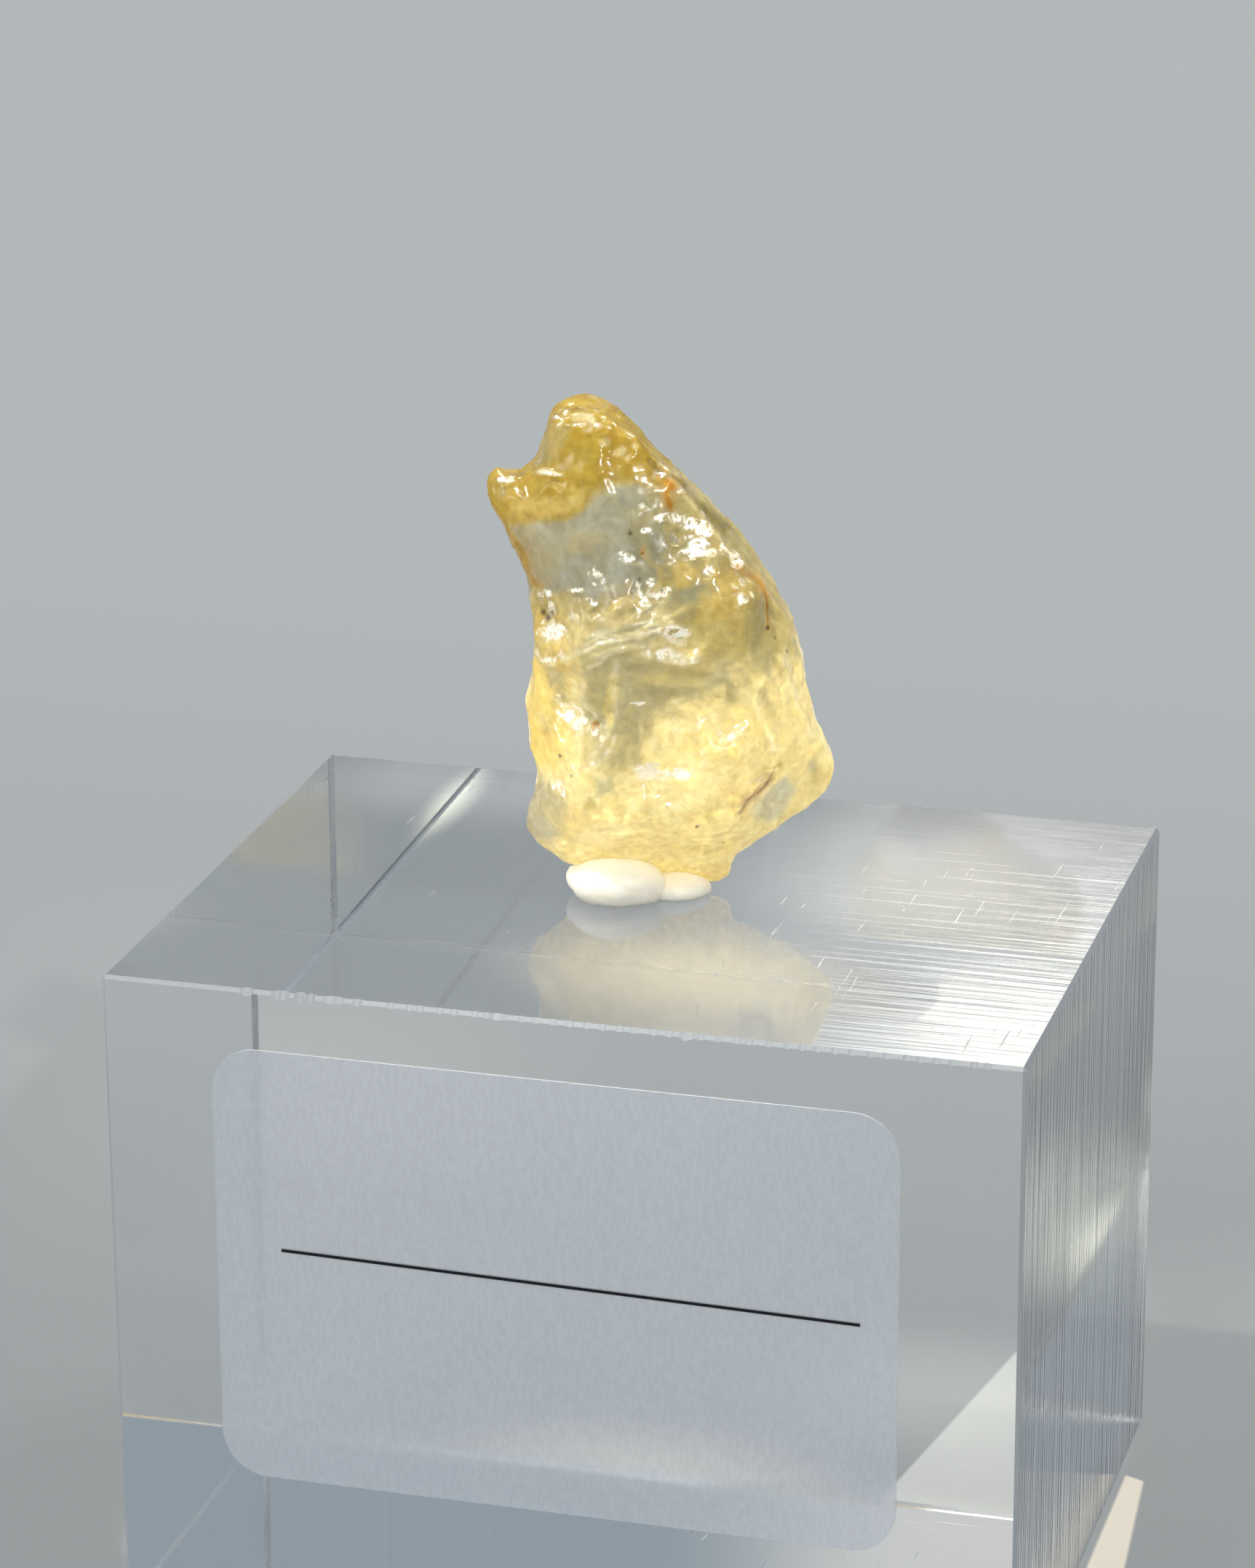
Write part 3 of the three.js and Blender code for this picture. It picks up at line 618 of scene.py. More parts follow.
# %% Stains, dirt and frost
# Each stain: its line of u, w points, half width and strength
RUST_LINES = [
    ([(1.3, 25), (1.6, 24.7), (1.3, 24.3), (1.5, 23.5)], 0.22, 1),
    ([(1.2, 24.9), (1.7, 24.7), (1.5, 24.1)], 0.4, 0.6),
    ([(2.2, 25.2), (2.7, 24.6)], 0.12, 0.5),
    ([(5.3, 19.9), (5.6, 19.6), (6.1, 19.5), (6.5, 19), (6.75, 18.3), (6.8, 17.4), (6.8, 16.6)], 0.05, 1),
    ([(5.2, 20), (5.9, 19.8), (6.4, 19.3), (6.7, 18.6)], 0.24, 0.65),
    ([(7.6, 8.7), (7.2, 8.55), (7.05, 8.05), (6.65, 7.35), (5.7, 6.6), (5.3, 5.9)], 0.06, 1),
    ([(7, 8), (6.4, 7.2), (5.5, 6.6)], 0.3, 0.6),
    ([(-2.65, 11.2), (-2.5, 11.1), (-2.52, 10.9), (-2.7, 10.85), (-2.8, 11), (-2.65, 11.2)], 0.05, 1),
    ([(-5.9, 19.7), (-5.6, 19.1)], 0.16, 0.6),
    ([(0, 21), (0, 20.8)], 0.12, 0.9),
    ([(3.3, 2.2), (4.2, 2.4)], 0.3, 0.2),
    ([(-5.1, 15.1), (-4.4, 15.3)], 0.15, 0.4),
    ([(-5.4, 10.4), (-5.4, 10.6)], 0.15, 0.45),
    ([(4.95, 18.6), (4.95, 18.55)], 0.1, 0.6),
    ([(6.3, 7.3), (5.4, 6.7), (4.9, 7.2)], 0.45, 0.3),
    ([(-6.4, 21.2), (-6, 20.2)], 0.2, 0.4),
]
# Each line of dirt, in the same way
DIRT_LINES = [
    ([(6.6, 18.8), (6.75, 18.3), (6.8, 17.4), (6.8, 16.6)], 0.035, 0.6),
    ([(7.05, 8.1), (6.75, 7.5)], 0.03, 0.6),
]
# Each speck: u, w and radius
DIRT_SPECKS = [
    (-0.7, 22, 0.13), (-0.2, 19.4, 0.11), (0, 20.9, 0.08), (6.8, 16.6, 0.11), (-5.2, 17.3, 0.16),
    (-5.45, 17.65, 0.12), (-4.95, 17.6, 0.08), (2.9, 5.1, 0.08), (4.4, 4.15, 0.06), (1.3, 6.3, 0.08),
    (7.2, 16, 0.07), (7.9, 15.3, 0.07), (-4.6, 9.3, 0.1), (-4, 8.1, 0.06),
]


def stains(points, lines):
    """How strongly each point is stained, with a width that varies along the line."""
    u, w = points[:, 0], seen_height(points)
    uneven = 1.1 + 0.9 * fractal(points, 0.4, 3, 9.0)
    cover = np.zeros(len(points))
    for line, width, strength in lines:
        away, _ = line_distance(u, w, line)
        cover = np.maximum(cover, strength * bell(away, width * np.maximum(uneven, 0.2)))
    return cover


rust = stains(skin, RUST_LINES) * front
dirt = stains(skin, DIRT_LINES) * front
for speck_u, speck_w, radius in DIRT_SPECKS:
    away = np.hypot(skin[:, 0] - speck_u, seen_height(skin) - speck_w)
    dirt = np.maximum(dirt, smooth_step(1.4, 0.7, away / radius) * front)


def keep_on_points(name, values, kind="FLOAT", key="value"):
    kept = stone.data.attributes.new(name, kind, "POINT")
    kept.data.foreach_set(key, values.astype(np.float32).ravel())


for mark_name, values in (("cloud", cloud), ("frost_and_glint", frost_and_glint), ("rust", rust), ("dirt", dirt), ("rim", rim)):
    keep_on_points(mark_name, values)
keep_on_points("tint", np.concatenate([tint, np.ones((len(tint), 1))], 1), "FLOAT_COLOR", "color")
write_points(stone.data, from_stone(skin))
print("stained share:", round(float((rust > 0.2).mean()), 3))
print("frosted share:", round(float((frost_and_glint > 0.5).mean()), 3))

# %% [markdown]
# ## Small helpers for finishes
# All finishes here are made of the same few steps: read a mark, take some noise, turn one range of numbers
# into another, or blend two colours. Nodes could be laid out one by one each time. A name for each step
# keeps the recipes short enough to read at a glance.

# %% Finish helpers
def new_finish(piece, name):
    """Puts a new material on a piece and returns its node tree."""
    finish = bpy.data.materials.new(name)
    finish.use_nodes = True
    piece.data.materials.append(finish)
    return finish.node_tree


def plug(tree, value, socket):
    """Links an output, or sets a plain value, on a socket."""
    if isinstance(value, bpy.types.NodeSocket):
        tree.links.new(value, socket)
    elif socket.type == "RGBA" and len(value) == 3:
        socket.default_value = (*value, 1)
    else:
        socket.default_value = value


def set_shader(tree, inputs):
    for name, value in inputs.items():
        plug(tree, value, tree.nodes["Principled BSDF"].inputs[name])


def add_node(tree, kind, inputs, output=0, **settings):
    """Adds a node, fills the inputs given by name or number, and returns one of its outputs."""
    node = tree.nodes.new("ShaderNode" + kind)
    for setting, value in settings.items():
        setattr(node, setting, value)
    for key, value in inputs.items():
        plug(tree, value, node.inputs[key])
    return node.outputs[output]


def mark(tree, name, output="Fac"):
    """A value kept on the points, as read by the finish."""
    return add_node(tree, "Attribute", {}, output, attribute_name=name)


def reckon(tree, operation, a, b=0.0):
    return add_node(tree, "Math", {0: a, 1: b}, operation=operation)


def reckon_vector(tree, operation, a, b, output="Vector"):
    return add_node(tree, "VectorMath", {0: a, 1: b}, output, operation=operation)


def times(tree, value, *others):
    for other in others:
        value = reckon(tree, "MULTIPLY", value, other)
    return value


def most(tree, value, *others):
    for other in others:
        value = reckon(tree, "MAXIMUM", value, other)
    return value


def place(tree, stretch):
    """The place on the piece, stretched along its axes."""
    return reckon_vector(tree, "MULTIPLY", add_node(tree, "TexCoord", {}, "Object"), stretch)


def split(tree, vector):
    """The parts X, Y and Z of a vector."""
    parts = tree.nodes.new("ShaderNodeSeparateXYZ")
    plug(tree, vector, parts.inputs[0])
    return parts.outputs


def millimetres(tree):
    return split(tree, place(tree, (1 / MM,) * 3))


def cloud_noise(tree, size, detail, warp=0.0, stretch=(1, 1, 1)):
    """Noise from 0 to 1 whose waves are about size millimetres wide."""
    inputs = {"Vector": place(tree, stretch), "Scale": 1 / (size * MM), "Detail": detail, "Distortion": warp}
    return add_node(tree, "TexNoise", inputs, "Fac")


def span(tree, value, low, high, to_low=0.0, to_high=1.0):
    """Turns the range from low to high into another one, smoothly and without going past its ends."""
    inputs = dict(enumerate((value, low, high, to_low, to_high)))
    return add_node(tree, "MapRange", inputs, interpolation_type="SMOOTHSTEP")


def blend_colours(tree, share, a, b, kind="MIX"):
    return add_node(tree, "Mix", {"Factor": share, 6: a, 7: b}, 2, data_type="RGBA", blend_type=kind)


def bumps(tree, height, depth):
    """Bumps so many millimetres high."""
    return add_node(tree, "Bump", {"Distance": depth * MM, "Height": height}, "Normal")


# %% [markdown]
# ## The finish of the stone
# The real stone is clear in places and milky in others, waxy where the wind wore it and white where it is
# chipped. One clear glass could not show that, and one wax could not either. So the marks on the points
# decide at each place how much light goes through, and a share of light that falls on the back shines out
# in front. The white of the chips and crests is partly painted highlight, and the white rim low on the
# outline is painted highlight.

# %% Stone finish
RUST_COLOUR = (0.42, 0.20, 0.010)
DIRT_COLOUR = (0.09, 0.04, 0.01)
FROST_AND_HIGHLIGHT_COLOUR = (1.0, 0.975, 0.90)
# How solid the glass looks where it is fully cloudy, frosted or stained, and how bright the painted rim
# highlight is
CLOUD_SOLID, FROST_AND_HIGHLIGHT_SOLID, STAIN_SOLID, RIM_HIGHLIGHT = 0.7, 0.9, 0.9, 0.6
# How much of the light that falls on the far side shines through cloudy glass, and through frosted glass and
# its painted highlights
CLOUD_SHINE, FROST_AND_HIGHLIGHT_SHINE = 0.55, 0.3
# The deep clear glass is full of its own colour after so many millimetres
GLASS_BODY, GLASS_DEPTH = (0.98, 0.94, 0.78), 40

tree = new_finish(stone, "desert_glass")
mottle = cloud_noise(tree, 1.5, 4, 0.6)
flecks = cloud_noise(tree, 0.45, 3, 0.3)
cloudy = times(tree, mark(tree, "cloud"), span(tree, mottle, 0.3, 0.7, 0.6, 1.2))
crumbs = span(tree, cloud_noise(tree, 0.26, 3, 0.5), 0.36, 0.50, 0.25, 1)
frost_and_highlights = most(tree, times(tree, mark(tree, "frost_and_glint"), crumbs), times(tree, mark(tree, "rim"), RIM_HIGHLIGHT))
warm = blend_colours(tree, span(tree, mottle, 0.35, 0.65), (1.0, 0.91, 0.70), (1.0, 1.0, 1.0))
shade = blend_colours(tree, span(tree, flecks, 0.3, 0.65), (0.81, 0.77, 0.66), warm)
colour = blend_colours(tree, 1.0, mark(tree, "tint", "Color"), shade, "MULTIPLY")
rust, dirt = mark(tree, "rust"), mark(tree, "dirt")
for cover, over in ((frost_and_highlights, FROST_AND_HIGHLIGHT_COLOUR), (rust, RUST_COLOUR), (dirt, DIRT_COLOUR)):
    colour = blend_colours(tree, cover, colour, over)
stained = most(tree, rust, dirt)
clouded, whitened = times(tree, cloudy, CLOUD_SOLID), times(tree, frost_and_highlights, FROST_AND_HIGHLIGHT_SOLID)
solid = most(tree, clouded, whitened, times(tree, stained, STAIN_SOLID))
grainy = times(tree, cloud_noise(tree, 0.16, 2), span(tree, mark(tree, "cloud"), 0.45, 0.8))
set_shader(tree, {
    "Base Color": colour,
    "Transmission Weight": span(tree, solid, 0, 1, 1, 0),
    "Roughness": reckon(tree, "SUBTRACT", 0.36, times(tree, mark(tree, "cloud"), 0.24)),
    "Normal": bumps(tree, grainy, 0.004),
    "IOR": GLASS_INDEX,
    "Subsurface Weight": 1.0,
    "Subsurface Radius": (1.0, 0.85, 0.6),
    "Subsurface Scale": 1.2 * MM,
})
body = add_node(tree, "VolumeAbsorption", {"Color": GLASS_BODY, "Density": 1 / (GLASS_DEPTH * MM)})
plug(tree, body, tree.nodes["Material Output"].inputs["Volume"])
shine = most(tree, times(tree, cloudy, CLOUD_SHINE), times(tree, frost_and_highlights, FROST_AND_HIGHLIGHT_SHINE))
shine = times(tree, shine, span(tree, stained, 0, 0.8, 1, 0.1))
glow = add_node(tree, "BsdfTranslucent", {"Color": colour})
both = add_node(tree, "MixShader", {0: shine, 1: tree.nodes["Principled BSDF"].outputs[0], 2: glow})
plug(tree, both, tree.nodes["Material Output"].inputs["Surface"])
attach(stone, "root")
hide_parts("glass")
print("stone has", len(stone.data.polygons), "faces")

# %% [markdown]
# ## The tack
# The stone is pushed into a small pad of white mineral tack. Fingers have pressed it into soft lobes. The
# solid keeps a hair's gap to the stone, so this copy is swollen a little until it grips it, and then the
# folds between the lobes are rounded and the skin is kneaded with low, broad waves.

# %% Tack
TACK_STEP = 0.16
TACK_IRON_PASSES = 6
TACK_SWELL = 0.22
TACK_FLOOR = 0.01

tack = copy_in_millimetres("tack", "mineral_tack")
remesh(tack, TACK_STEP)
iron(tack.data, TACK_IRON_PASSES)
pad = read_points(tack.data)
swell = TACK_SWELL + 0.07 * fractal(pad, 1.4, 3, 12.0) + 0.012 * fractal(pad, 0.4, 2, 13.0)
pad += read_normals(tack.data) * swell[:, None]
pad[:, 2] = np.maximum(pad[:, 2], TACK_FLOOR)
write_points(tack.data, from_stone(pad))
tack.data.shade_smooth()

tree = new_finish(tack, "mineral_tack")
kneading = cloud_noise(tree, 0.8, 4, 0.4)
set_shader(tree, {
    "Base Color": blend_colours(tree, kneading, (0.70, 0.66, 0.55), (0.82, 0.79, 0.69)),
    "Roughness": span(tree, kneading, 0.3, 0.7, 0.4, 0.55),
    "Normal": bumps(tree, cloud_noise(tree, 0.25, 3), 0.02),
    "Subsurface Weight": 0.6,
    "Subsurface Radius": (1.0, 0.9, 0.7),
    "Subsurface Scale": 1.2 * MM,
})
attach(tack, "root")
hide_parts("tack")
print("tack has", len(tack.data.polygons), "faces")

# %% [markdown]
# ## The acrylic block
# Cast acrylic is sawn, milled and polished. Its edges are almost sharp, with a hairline bevel that catches
# the light, and the front edge has small chips. We cut a plain box into thin slices where the chips are, so
# that the bevel there has points to push in.

# %% Block
import bmesh

BLOCK_EDGE = 0.2
# Each chip on the top front edge: x, half length and depth
EDGE_CHIPS = [
    (-17.1, 0.35, 0.16), (-15.2, 0.5, 0.22), (-14.1, 0.3, 0.3), (-13.5, 0.22, 0.2), (-12.2, 0.6, 0.14),
    (-10.9, 0.25, 0.12), (-3.1, 0.3, 0.1), (7.3, 0.4, 0.12),
]
CHIP_SLICE = 0.07
# Tiny nicks all along the edge, so that its gleam breaks into sparks
NICKS_FROM, NICK_STEP, NICKS, NICK_HALF, NICK_DEPTH = -9.0, 0.9, 37, 0.2, 0.06
EDGE_NICKS = []
for k in range(NICKS):
    stray = 0.4 * noise.noise(Vector((0.7 * k, 0, 0)))
    EDGE_NICKS.append((NICKS_FROM + NICK_STEP * (k + stray), NICK_HALF, NICK_DEPTH))


def piece_from(form, name):
    """Turns an edited mesh into a piece of the scene."""
    mesh = bpy.data.meshes.new(name)
    form.to_mesh(mesh)
    form.free()
    return add_to_scene(name, mesh)


form = bmesh.new()
bmesh.ops.create_cube(form, size=1)
size = block_high - block_low
for point in form.verts:
    point.co = Vector(block_low[k] + (point.co[k] + 0.5) * size[k] for k in range(3))
bmesh.ops.bevel(form, geom=form.edges[:], offset=BLOCK_EDGE * MM, segments=1, profile=0.5, affect="EDGES")
for chip_x, half, _ in EDGE_CHIPS + EDGE_NICKS:
    for cut in np.arange(-1.1 * half, 1.1 * half + CHIP_SLICE, CHIP_SLICE) + chip_x:
        everything = form.verts[:] + form.edges[:] + form.faces[:]
        at = (cut * MM, 0, 0)
        bmesh.ops.bisect_plane(form, geom=everything, dist=1e-9, plane_co=at, plane_no=(1, 0, 0))
for point in form.verts:
    x, y, z = point.co / MM
    down = BLOCK_TOP - z
    back = y - block_low.y / MM
    if down > 1.01 * BLOCK_EDGE or back > 1.01 * BLOCK_EDGE:
        continue
    depth = sum(d * max(0.0, 1 - ((x - cx) / h) ** 2) ** 0.7 for cx, h, d in EDGE_CHIPS + EDGE_NICKS)
    depth *= 1 + 0.35 * noise.noise(Vector((x * 9, 0, 0)))
    toward = Vector((0, BLOCK_EDGE - down, -(BLOCK_EDGE - back)))
    if toward.length > 1e-6:
        point.co += depth * toward / BLOCK_EDGE * MM
block = piece_from(form, "acrylic_block")
print("block has", len(block.data.polygons), "faces")


# %% Block finish
def facing(tree, axis):
    """1 where the surface faces along that axis, either way, 0 elsewhere."""
    normal = split(tree, add_node(tree, "NewGeometry", {}, "True Normal"))
    return span(tree, reckon(tree, "ABSOLUTE", normal[axis]), 0.8, 0.95)


ACRYLIC_INDEX = 1.49
BEVEL_GREY = (0.55, 0.57, 0.59)
ACRYLIC_CLEAR = (0.99, 0.995, 1.0)
BEVEL_ROUGHNESS = 0.35
BEVEL_CLEAR_SHARE = 0.45

tree = new_finish(block, "cast_acrylic")
milling = cloud_noise(tree, 0.35, 3, 0, (1, 1, 0.01))
scuffs = span(tree, cloud_noise(tree, 0.3, 2, 0, (1, 0.05, 1)), 0.66, 0.76, 0, 0.6)
scuffs = times(tree, scuffs, span(tree, cloud_noise(tree, 7, 2), 0.45, 0.6))
on_right = span(tree, millimetres(tree)["X"], 0, 1, 1, 6)
polishing = times(tree, cloud_noise(tree, 0.5, 3, 0, (0.02, 1, 1)), 0.9)
side_marks = times(tree, milling, on_right, facing(tree, "X"))
top_marks = times(tree, reckon(tree, "ADD", scuffs, polishing), facing(tree, "Z"))
marks = reckon(tree, "ADD", side_marks, top_marks)
flat_faces = most(tree, *(facing(tree, axis) for axis in "XYZ"))
flat_faces = most(tree, flat_faces, span(tree, millimetres(tree)["Z"], 2, 6, 0.55, 0))
polish = span(tree, cloud_noise(tree, 9, 3), 0.3, 0.7, 0, 0.04)
set_shader(tree, {
    "Base Color": blend_colours(tree, flat_faces, BEVEL_GREY, ACRYLIC_CLEAR),
    "Transmission Weight": span(tree, flat_faces, 0, 1, BEVEL_CLEAR_SHARE, 1),
    "Roughness": reckon(tree, "ADD", polish, span(tree, flat_faces, 0, 1, BEVEL_ROUGHNESS, 0)),
    "Normal": bumps(tree, marks, 0.008),
    "IOR": ACRYLIC_INDEX,
})
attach(block, "root")
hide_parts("block")

# %% [markdown]
# ## The film label
# A frosted film with round corners is stuck on the front. It hazes the light that goes through, so the
# block's inside shows in it only faintly. It could be a flat plane, but a thin body has real edges that
# catch the light. It carries no print, only one thin black rule, which its finish paints around a slanted
# line.

# %% Label
LABEL_GAP = 0.012
LABEL_THICK = 0.1
LABEL_CORNER = 2.6
CORNER_STEPS = 12
label_low, label_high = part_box("label")


def rounded_outline(low, high, radius):
    """The x, z points of an upright rectangle with round corners."""
    points = []
    for quarter in range(4):
        x = low.x + radius if quarter in (1, 2) else high.x - radius
        z = low.z + radius if quarter in (2, 3) else high.z - radius
        for k in range(CORNER_STEPS + 1):
            angle = math.radians(90 * (quarter + k / CORNER_STEPS))
            points.append((x + radius * math.cos(angle), z + radius * math.sin(angle)))
    return points


form = bmesh.new()
outline = rounded_outline(label_low, label_high, LABEL_CORNER * MM)
back_y = block_low.y - LABEL_GAP * MM
film = form.faces.new([form.verts.new((x, back_y, z)) for x, z in outline])
for part in bmesh.ops.extrude_face_region(form, geom=[film])["geom"]:
    if isinstance(part, bmesh.types.BMVert):
        part.co.y -= LABEL_THICK * MM
bmesh.ops.recalc_face_normals(form, faces=form.faces[:])
label = piece_from(form, "film_label")

# %% Label finish
# The rule's two ends, as x, z
RULE_FROM = (-15.5, 23.1)
RULE_TO = (16.8, 22.6)
RULE_WIDTH = 0.2
RULE_EDGE = 0.03
INK_COLOUR = (0.012, 0.012, 0.015)
FILM_INDEX = 1.3

tree = new_finish(label, "frosted_film")
where = millimetres(tree)
slope = (RULE_TO[1] - RULE_FROM[1]) / (RULE_TO[0] - RULE_FROM[0])
along = where["X"]
line_height = reckon(tree, "ADD", times(tree, along, slope), RULE_FROM[1] - slope * RULE_FROM[0])
off_line = reckon(tree, "ABSOLUTE", reckon(tree, "SUBTRACT", where["Z"], line_height))
ink = span(tree, off_line, RULE_WIDTH / 2 - RULE_EDGE, RULE_WIDTH / 2 + RULE_EDGE, 1, 0)
ink = times(tree, ink, span(tree, along, RULE_FROM[0] - RULE_EDGE, RULE_FROM[0] + RULE_EDGE))
ink = times(tree, ink, span(tree, along, RULE_TO[0] - RULE_EDGE, RULE_TO[0] + RULE_EDGE, 1, 0))
frosting = cloud_noise(tree, 0.35, 4)
grain = span(tree, cloud_noise(tree, 0.18, 2, 0, (1, 1, 0.4)), 0.35, 0.65)
film_colour = blend_colours(tree, grain, (0.89, 0.91, 0.945), (0.95, 0.97, 1.0))
film_colour = blend_colours(tree, facing(tree, "Y"), (1.0, 1.0, 1.0), film_colour)
set_shader(tree, {
    "Base Color": blend_colours(tree, ink, film_colour, INK_COLOUR),
    "Transmission Weight": times(tree, span(tree, ink, 0, 1, 0.62, 0), facing(tree, "Y")),
    "Roughness": span(tree, frosting, 0.3, 0.7, 0.10, 0.16),
    "Normal": bumps(tree, frosting, 0.003),
    "IOR": FILM_INDEX,
})
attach(label, "root")
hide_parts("label")
print("label has", len(label.data.polygons), "faces")

# %% [markdown]
# ## Floor and light
# The block stands on plain pale grey paper that is large enough to fill the whole picture, so the clear
# parts have an even grey to show. The block bends the sun into patches of light on the paper under and
# beside it. A renderer finds such light slowly, so the patches are painted: soft round ones, and two with
# straight edges. Each place seen in a clear face is the end of a bent line of sight, and the patches lie
# where those lines end. Beams from behind make the cloudy glass glow, and lamps in front lay small gleams
# on its chips.

# %% Floor
FLOOR_COLOUR = (0.43, 0.455, 0.46)
FLOOR_NEAR_SHADE = 0.7
SHADE_FADES = (-80, 200)
FLOOR_GLOW = 0.67
FLOOR_SIDE = 8.0
# A hair of air parts the paper from the block's underside
FLOOR_GAP = 0.2
# Each patch of sun on the paper: its middle x, y and two radii in millimetres, and its added light
SUN_PATCHES = [
    (8, 2, 20, 22, (0.42, 0.42, 0.40)),
    (-2, 19, 16, 9, (0.50, 0.42, 0.26)),
    (17, 15, 10, 7, (0.26, 0.26, 0.22)),
    (36, 50, 8, 20, (0.68, 0.68, 0.54)),
    (-26.5, -5, 3.2, 10, (1.40, 1.40, 1.08)),
    (12, 34, 14, 12, (0.14, 0.14, 0.12)),
    (-22, -8, 9, 9, (0.21, 0.21, 0.22)),
    (-40, 62, 26, 50, (0.055, 0.045, 0.035)),
]
# Each straight-edged patch of sun: its corners, counter-clockwise, and its added light
SUN_SHAPES = [
    ([(11.7, 16), (21.0, 16), (21.0, 43), (16.2, 43)], (0.30, 0.29, 0.25)),
    ([(25.6, -4), (28.4, -5), (27.0, 11.6), (25.6, 12.2)], (0.50, 0.41, 0.28)),
]
SHAPE_EDGE = 0.25

form = bmesh.new()
bmesh.ops.create_grid(form, x_segments=1, y_segments=1, size=FLOOR_SIDE / 2)
floor = piece_from(form, "floor")
floor.location.z = -FLOOR_GAP * MM
tree = new_finish(floor, "floor_paper")
shaded = tuple(FLOOR_NEAR_SHADE * c for c in FLOOR_COLOUR)
away_from_front = span(tree, millimetres(tree)["Y"], *SHADE_FADES)
paper = blend_colours(tree, away_from_front, shaded, FLOOR_COLOUR)
for x, y, radius_x, radius_y, light_colour in SUN_PATCHES:
    spot = place(tree, (1 / (radius_x * MM), 1 / (radius_y * MM), 0))
    off = reckon_vector(tree, "DISTANCE", spot, (x / radius_x, y / radius_y, 0), "Value")
    lit = span(tree, off, 0, 1, 1, 0)
    paper = blend_colours(tree, lit, paper, light_colour, "ADD")
for corners, light_colour in SUN_SHAPES:
    lit = 1.0
    for (x0, y0), (x1, y1) in zip(corners, corners[1:] + corners[:1]):
        length = math.hypot(x1 - x0, y1 - y0)
        inward = ((y0 - y1) / length, (x1 - x0) / length, 0)
        reach = reckon_vector(tree, "DOT_PRODUCT", place(tree, (1 / MM, 1 / MM, 0)), inward, "Value")
        start = inward[0] * x0 + inward[1] * y0
        lit = times(tree, lit, span(tree, reach, start, start + SHAPE_EDGE))
    paper = blend_colours(tree, lit, paper, light_colour, "ADD")
set_shader(tree, {
    "Base Color": blend_colours(tree, 1.0, paper, (1 - FLOOR_GLOW,) * 3, "MULTIPLY"),
    "Emission Color": paper,
    "Emission Strength": FLOOR_GLOW,
    "Roughness": 0.8,
})


# %% Light
def add_lamp(name, kind, at, target, power, colour, **settings):
    lamp = bpy.data.lights.new(name, kind)
    lamp.energy = power
    lamp.color = colour
    for setting, value in settings.items():
        setattr(lamp, setting, value)
    light = add_to_scene(name, lamp)
    light.location = at
    light.rotation_euler = (Vector(target) - Vector(at)).to_track_quat("-Z", "Y").to_euler()


def add_spot(name, at, target, power, cone, size, colour):
    """A lamp whose cone, given in degrees, is narrow enough to touch little but the stone."""
    cone = math.radians(cone)
    add_lamp(name, "SPOT", at, target, power, colour, spot_size=cone, spot_blend=0.6, shadow_soft_size=size)


STONE_MIDDLE = (0, 0.002, 0.052)
STONE_BODY = (0.001, 0.002, 0.045)
STONE_FOOTING = (0.001, 0.002, 0.041)
FRONT_EDGE = (0, -0.02, 0.038)
BEAM_FROM = (0.30, 0.34, 0.62)
FRONT_SKY = (-0.3, -0.6, 0.5)
BEAM_COLOUR = (1.0, 0.95, 0.86)
GLEAM_COLOUR = (1.0, 0.98, 0.95)
DAY_COLOUR = (1.0, 1.0, 1.0)
# A wide sun casts soft shadows
DAY_WIDTH = math.radians(14)

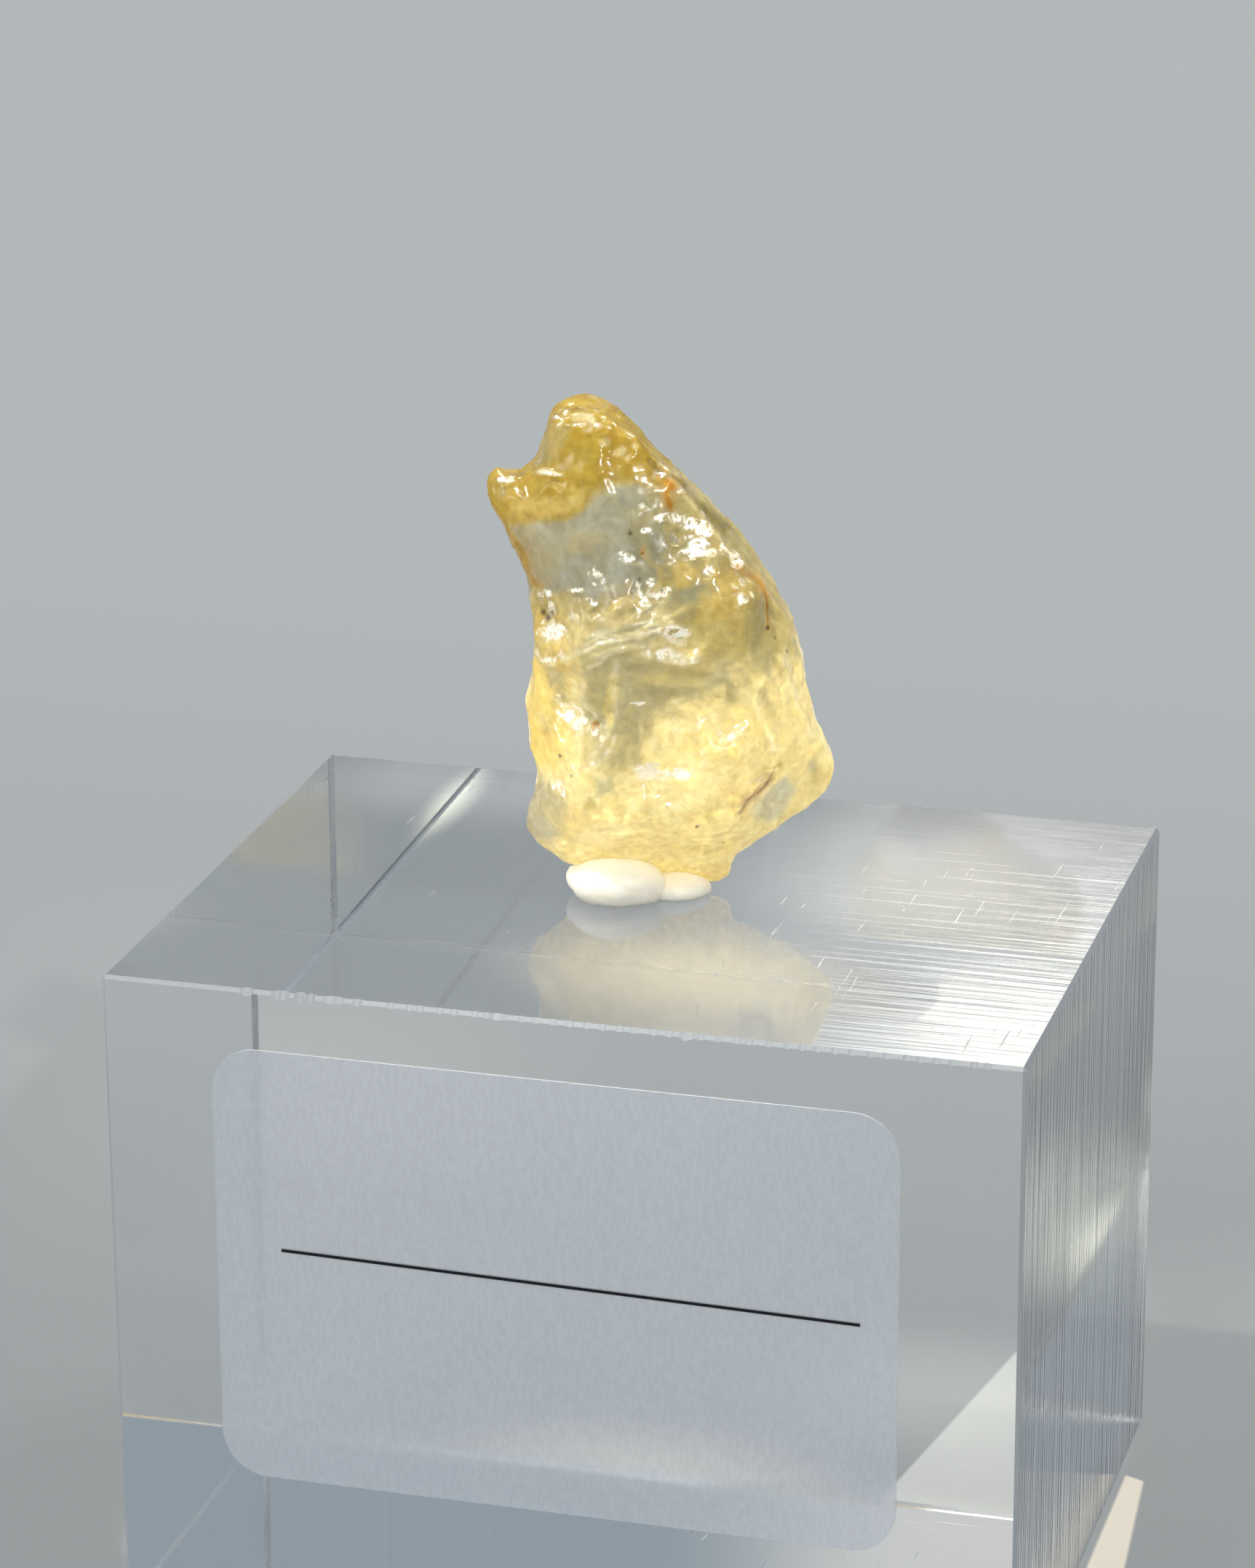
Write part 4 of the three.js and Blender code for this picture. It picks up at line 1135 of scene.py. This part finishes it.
add_spot("beam", BEAM_FROM, STONE_MIDDLE, 12, 4.2, 0.006, BEAM_COLOUR)
add_spot("left_beam", (-0.25, 0.40, 0.60), STONE_BODY, 19, 2.5, 0.006, BEAM_COLOUR)
add_spot("low_beam", (0.05, 0.65, 0.25), STONE_FOOTING, 36, 2.4, 0.006, BEAM_COLOUR)
add_spot("gleam_right", (0.40, -0.45, 0.50), STONE_MIDDLE, 15, 3.6, 0.012, GLEAM_COLOUR)
add_spot("gleam_left", (-0.4, -0.2, 0.62), STONE_MIDDLE, 18, 3.6, 0.012, GLEAM_COLOUR)
add_spot("gleam_side", (-0.62, -0.25, 0.15), STONE_BODY, 14, 2.4, 0.012, GLEAM_COLOUR)
add_lamp("edge_gleam", "AREA", (-0.21, -0.395, 0.93), FRONT_EDGE, 1.5, GLEAM_COLOUR, size=0.12)
add_lamp("back_daylight", "SUN", BEAM_FROM, (0, 0, 0), 0.7, DAY_COLOUR, angle=DAY_WIDTH)
add_lamp("front_daylight", "SUN", FRONT_SKY, (0, 0, 0), 0.6, DAY_COLOUR, angle=DAY_WIDTH)

# %% [markdown]
# ## The sky around it
# Polished acrylic shows whatever stands around it. A plain grey sky, darker ahead than behind, keeps its
# faces calm. One narrow pale strip ahead, with a bright slanted window low in it, gives its top the gleam
# of a studio.

# %% Sky
SKY_AHEAD = (0.27, 0.32, 0.36)
SKY_BEHIND = (0.46, 0.52, 0.58)
SKY_HIGH = (0.64, 0.65, 0.66)
SKY_STRIP = (0.60, 0.61, 0.60)
WINDOW_LIGHT = (4.2, 4.1, 3.9)
WINDOW_SLANT = 0.268

world = bpy.data.worlds.new("studio")
world.use_nodes = True
tree = world.node_tree
right, ahead, up = split(tree, add_node(tree, "TexCoord", {}, "Generated"))
sky = blend_colours(tree, span(tree, ahead, -0.3, 0.3), SKY_BEHIND, SKY_AHEAD)
sky = blend_colours(tree, span(tree, up, 0.5, 0.8), sky, SKY_HIGH)
strip = times(tree, span(tree, right, -0.24, -0.19), span(tree, right, -0.02, -0.08))
strip = times(tree, strip, span(tree, ahead, 0.5, 0.6))
sky = blend_colours(tree, strip, sky, SKY_STRIP)
slanted_up = reckon(tree, "ADD", up, times(tree, right, WINDOW_SLANT))
window = times(tree, strip, span(tree, slanted_up, 0.3125, 0.3195), span(tree, up, 0.42, 0.40))
sky = blend_colours(tree, window, sky, WINDOW_LIGHT)
plug(tree, sky, tree.nodes["Background"].inputs["Color"])
bpy.context.scene.world = world
bpy.context.scene.view_settings.view_transform = "Standard"

# %% [markdown]
# ## Last update
# Last, the view layer is brought up to date.

bpy.context.view_layer.update()
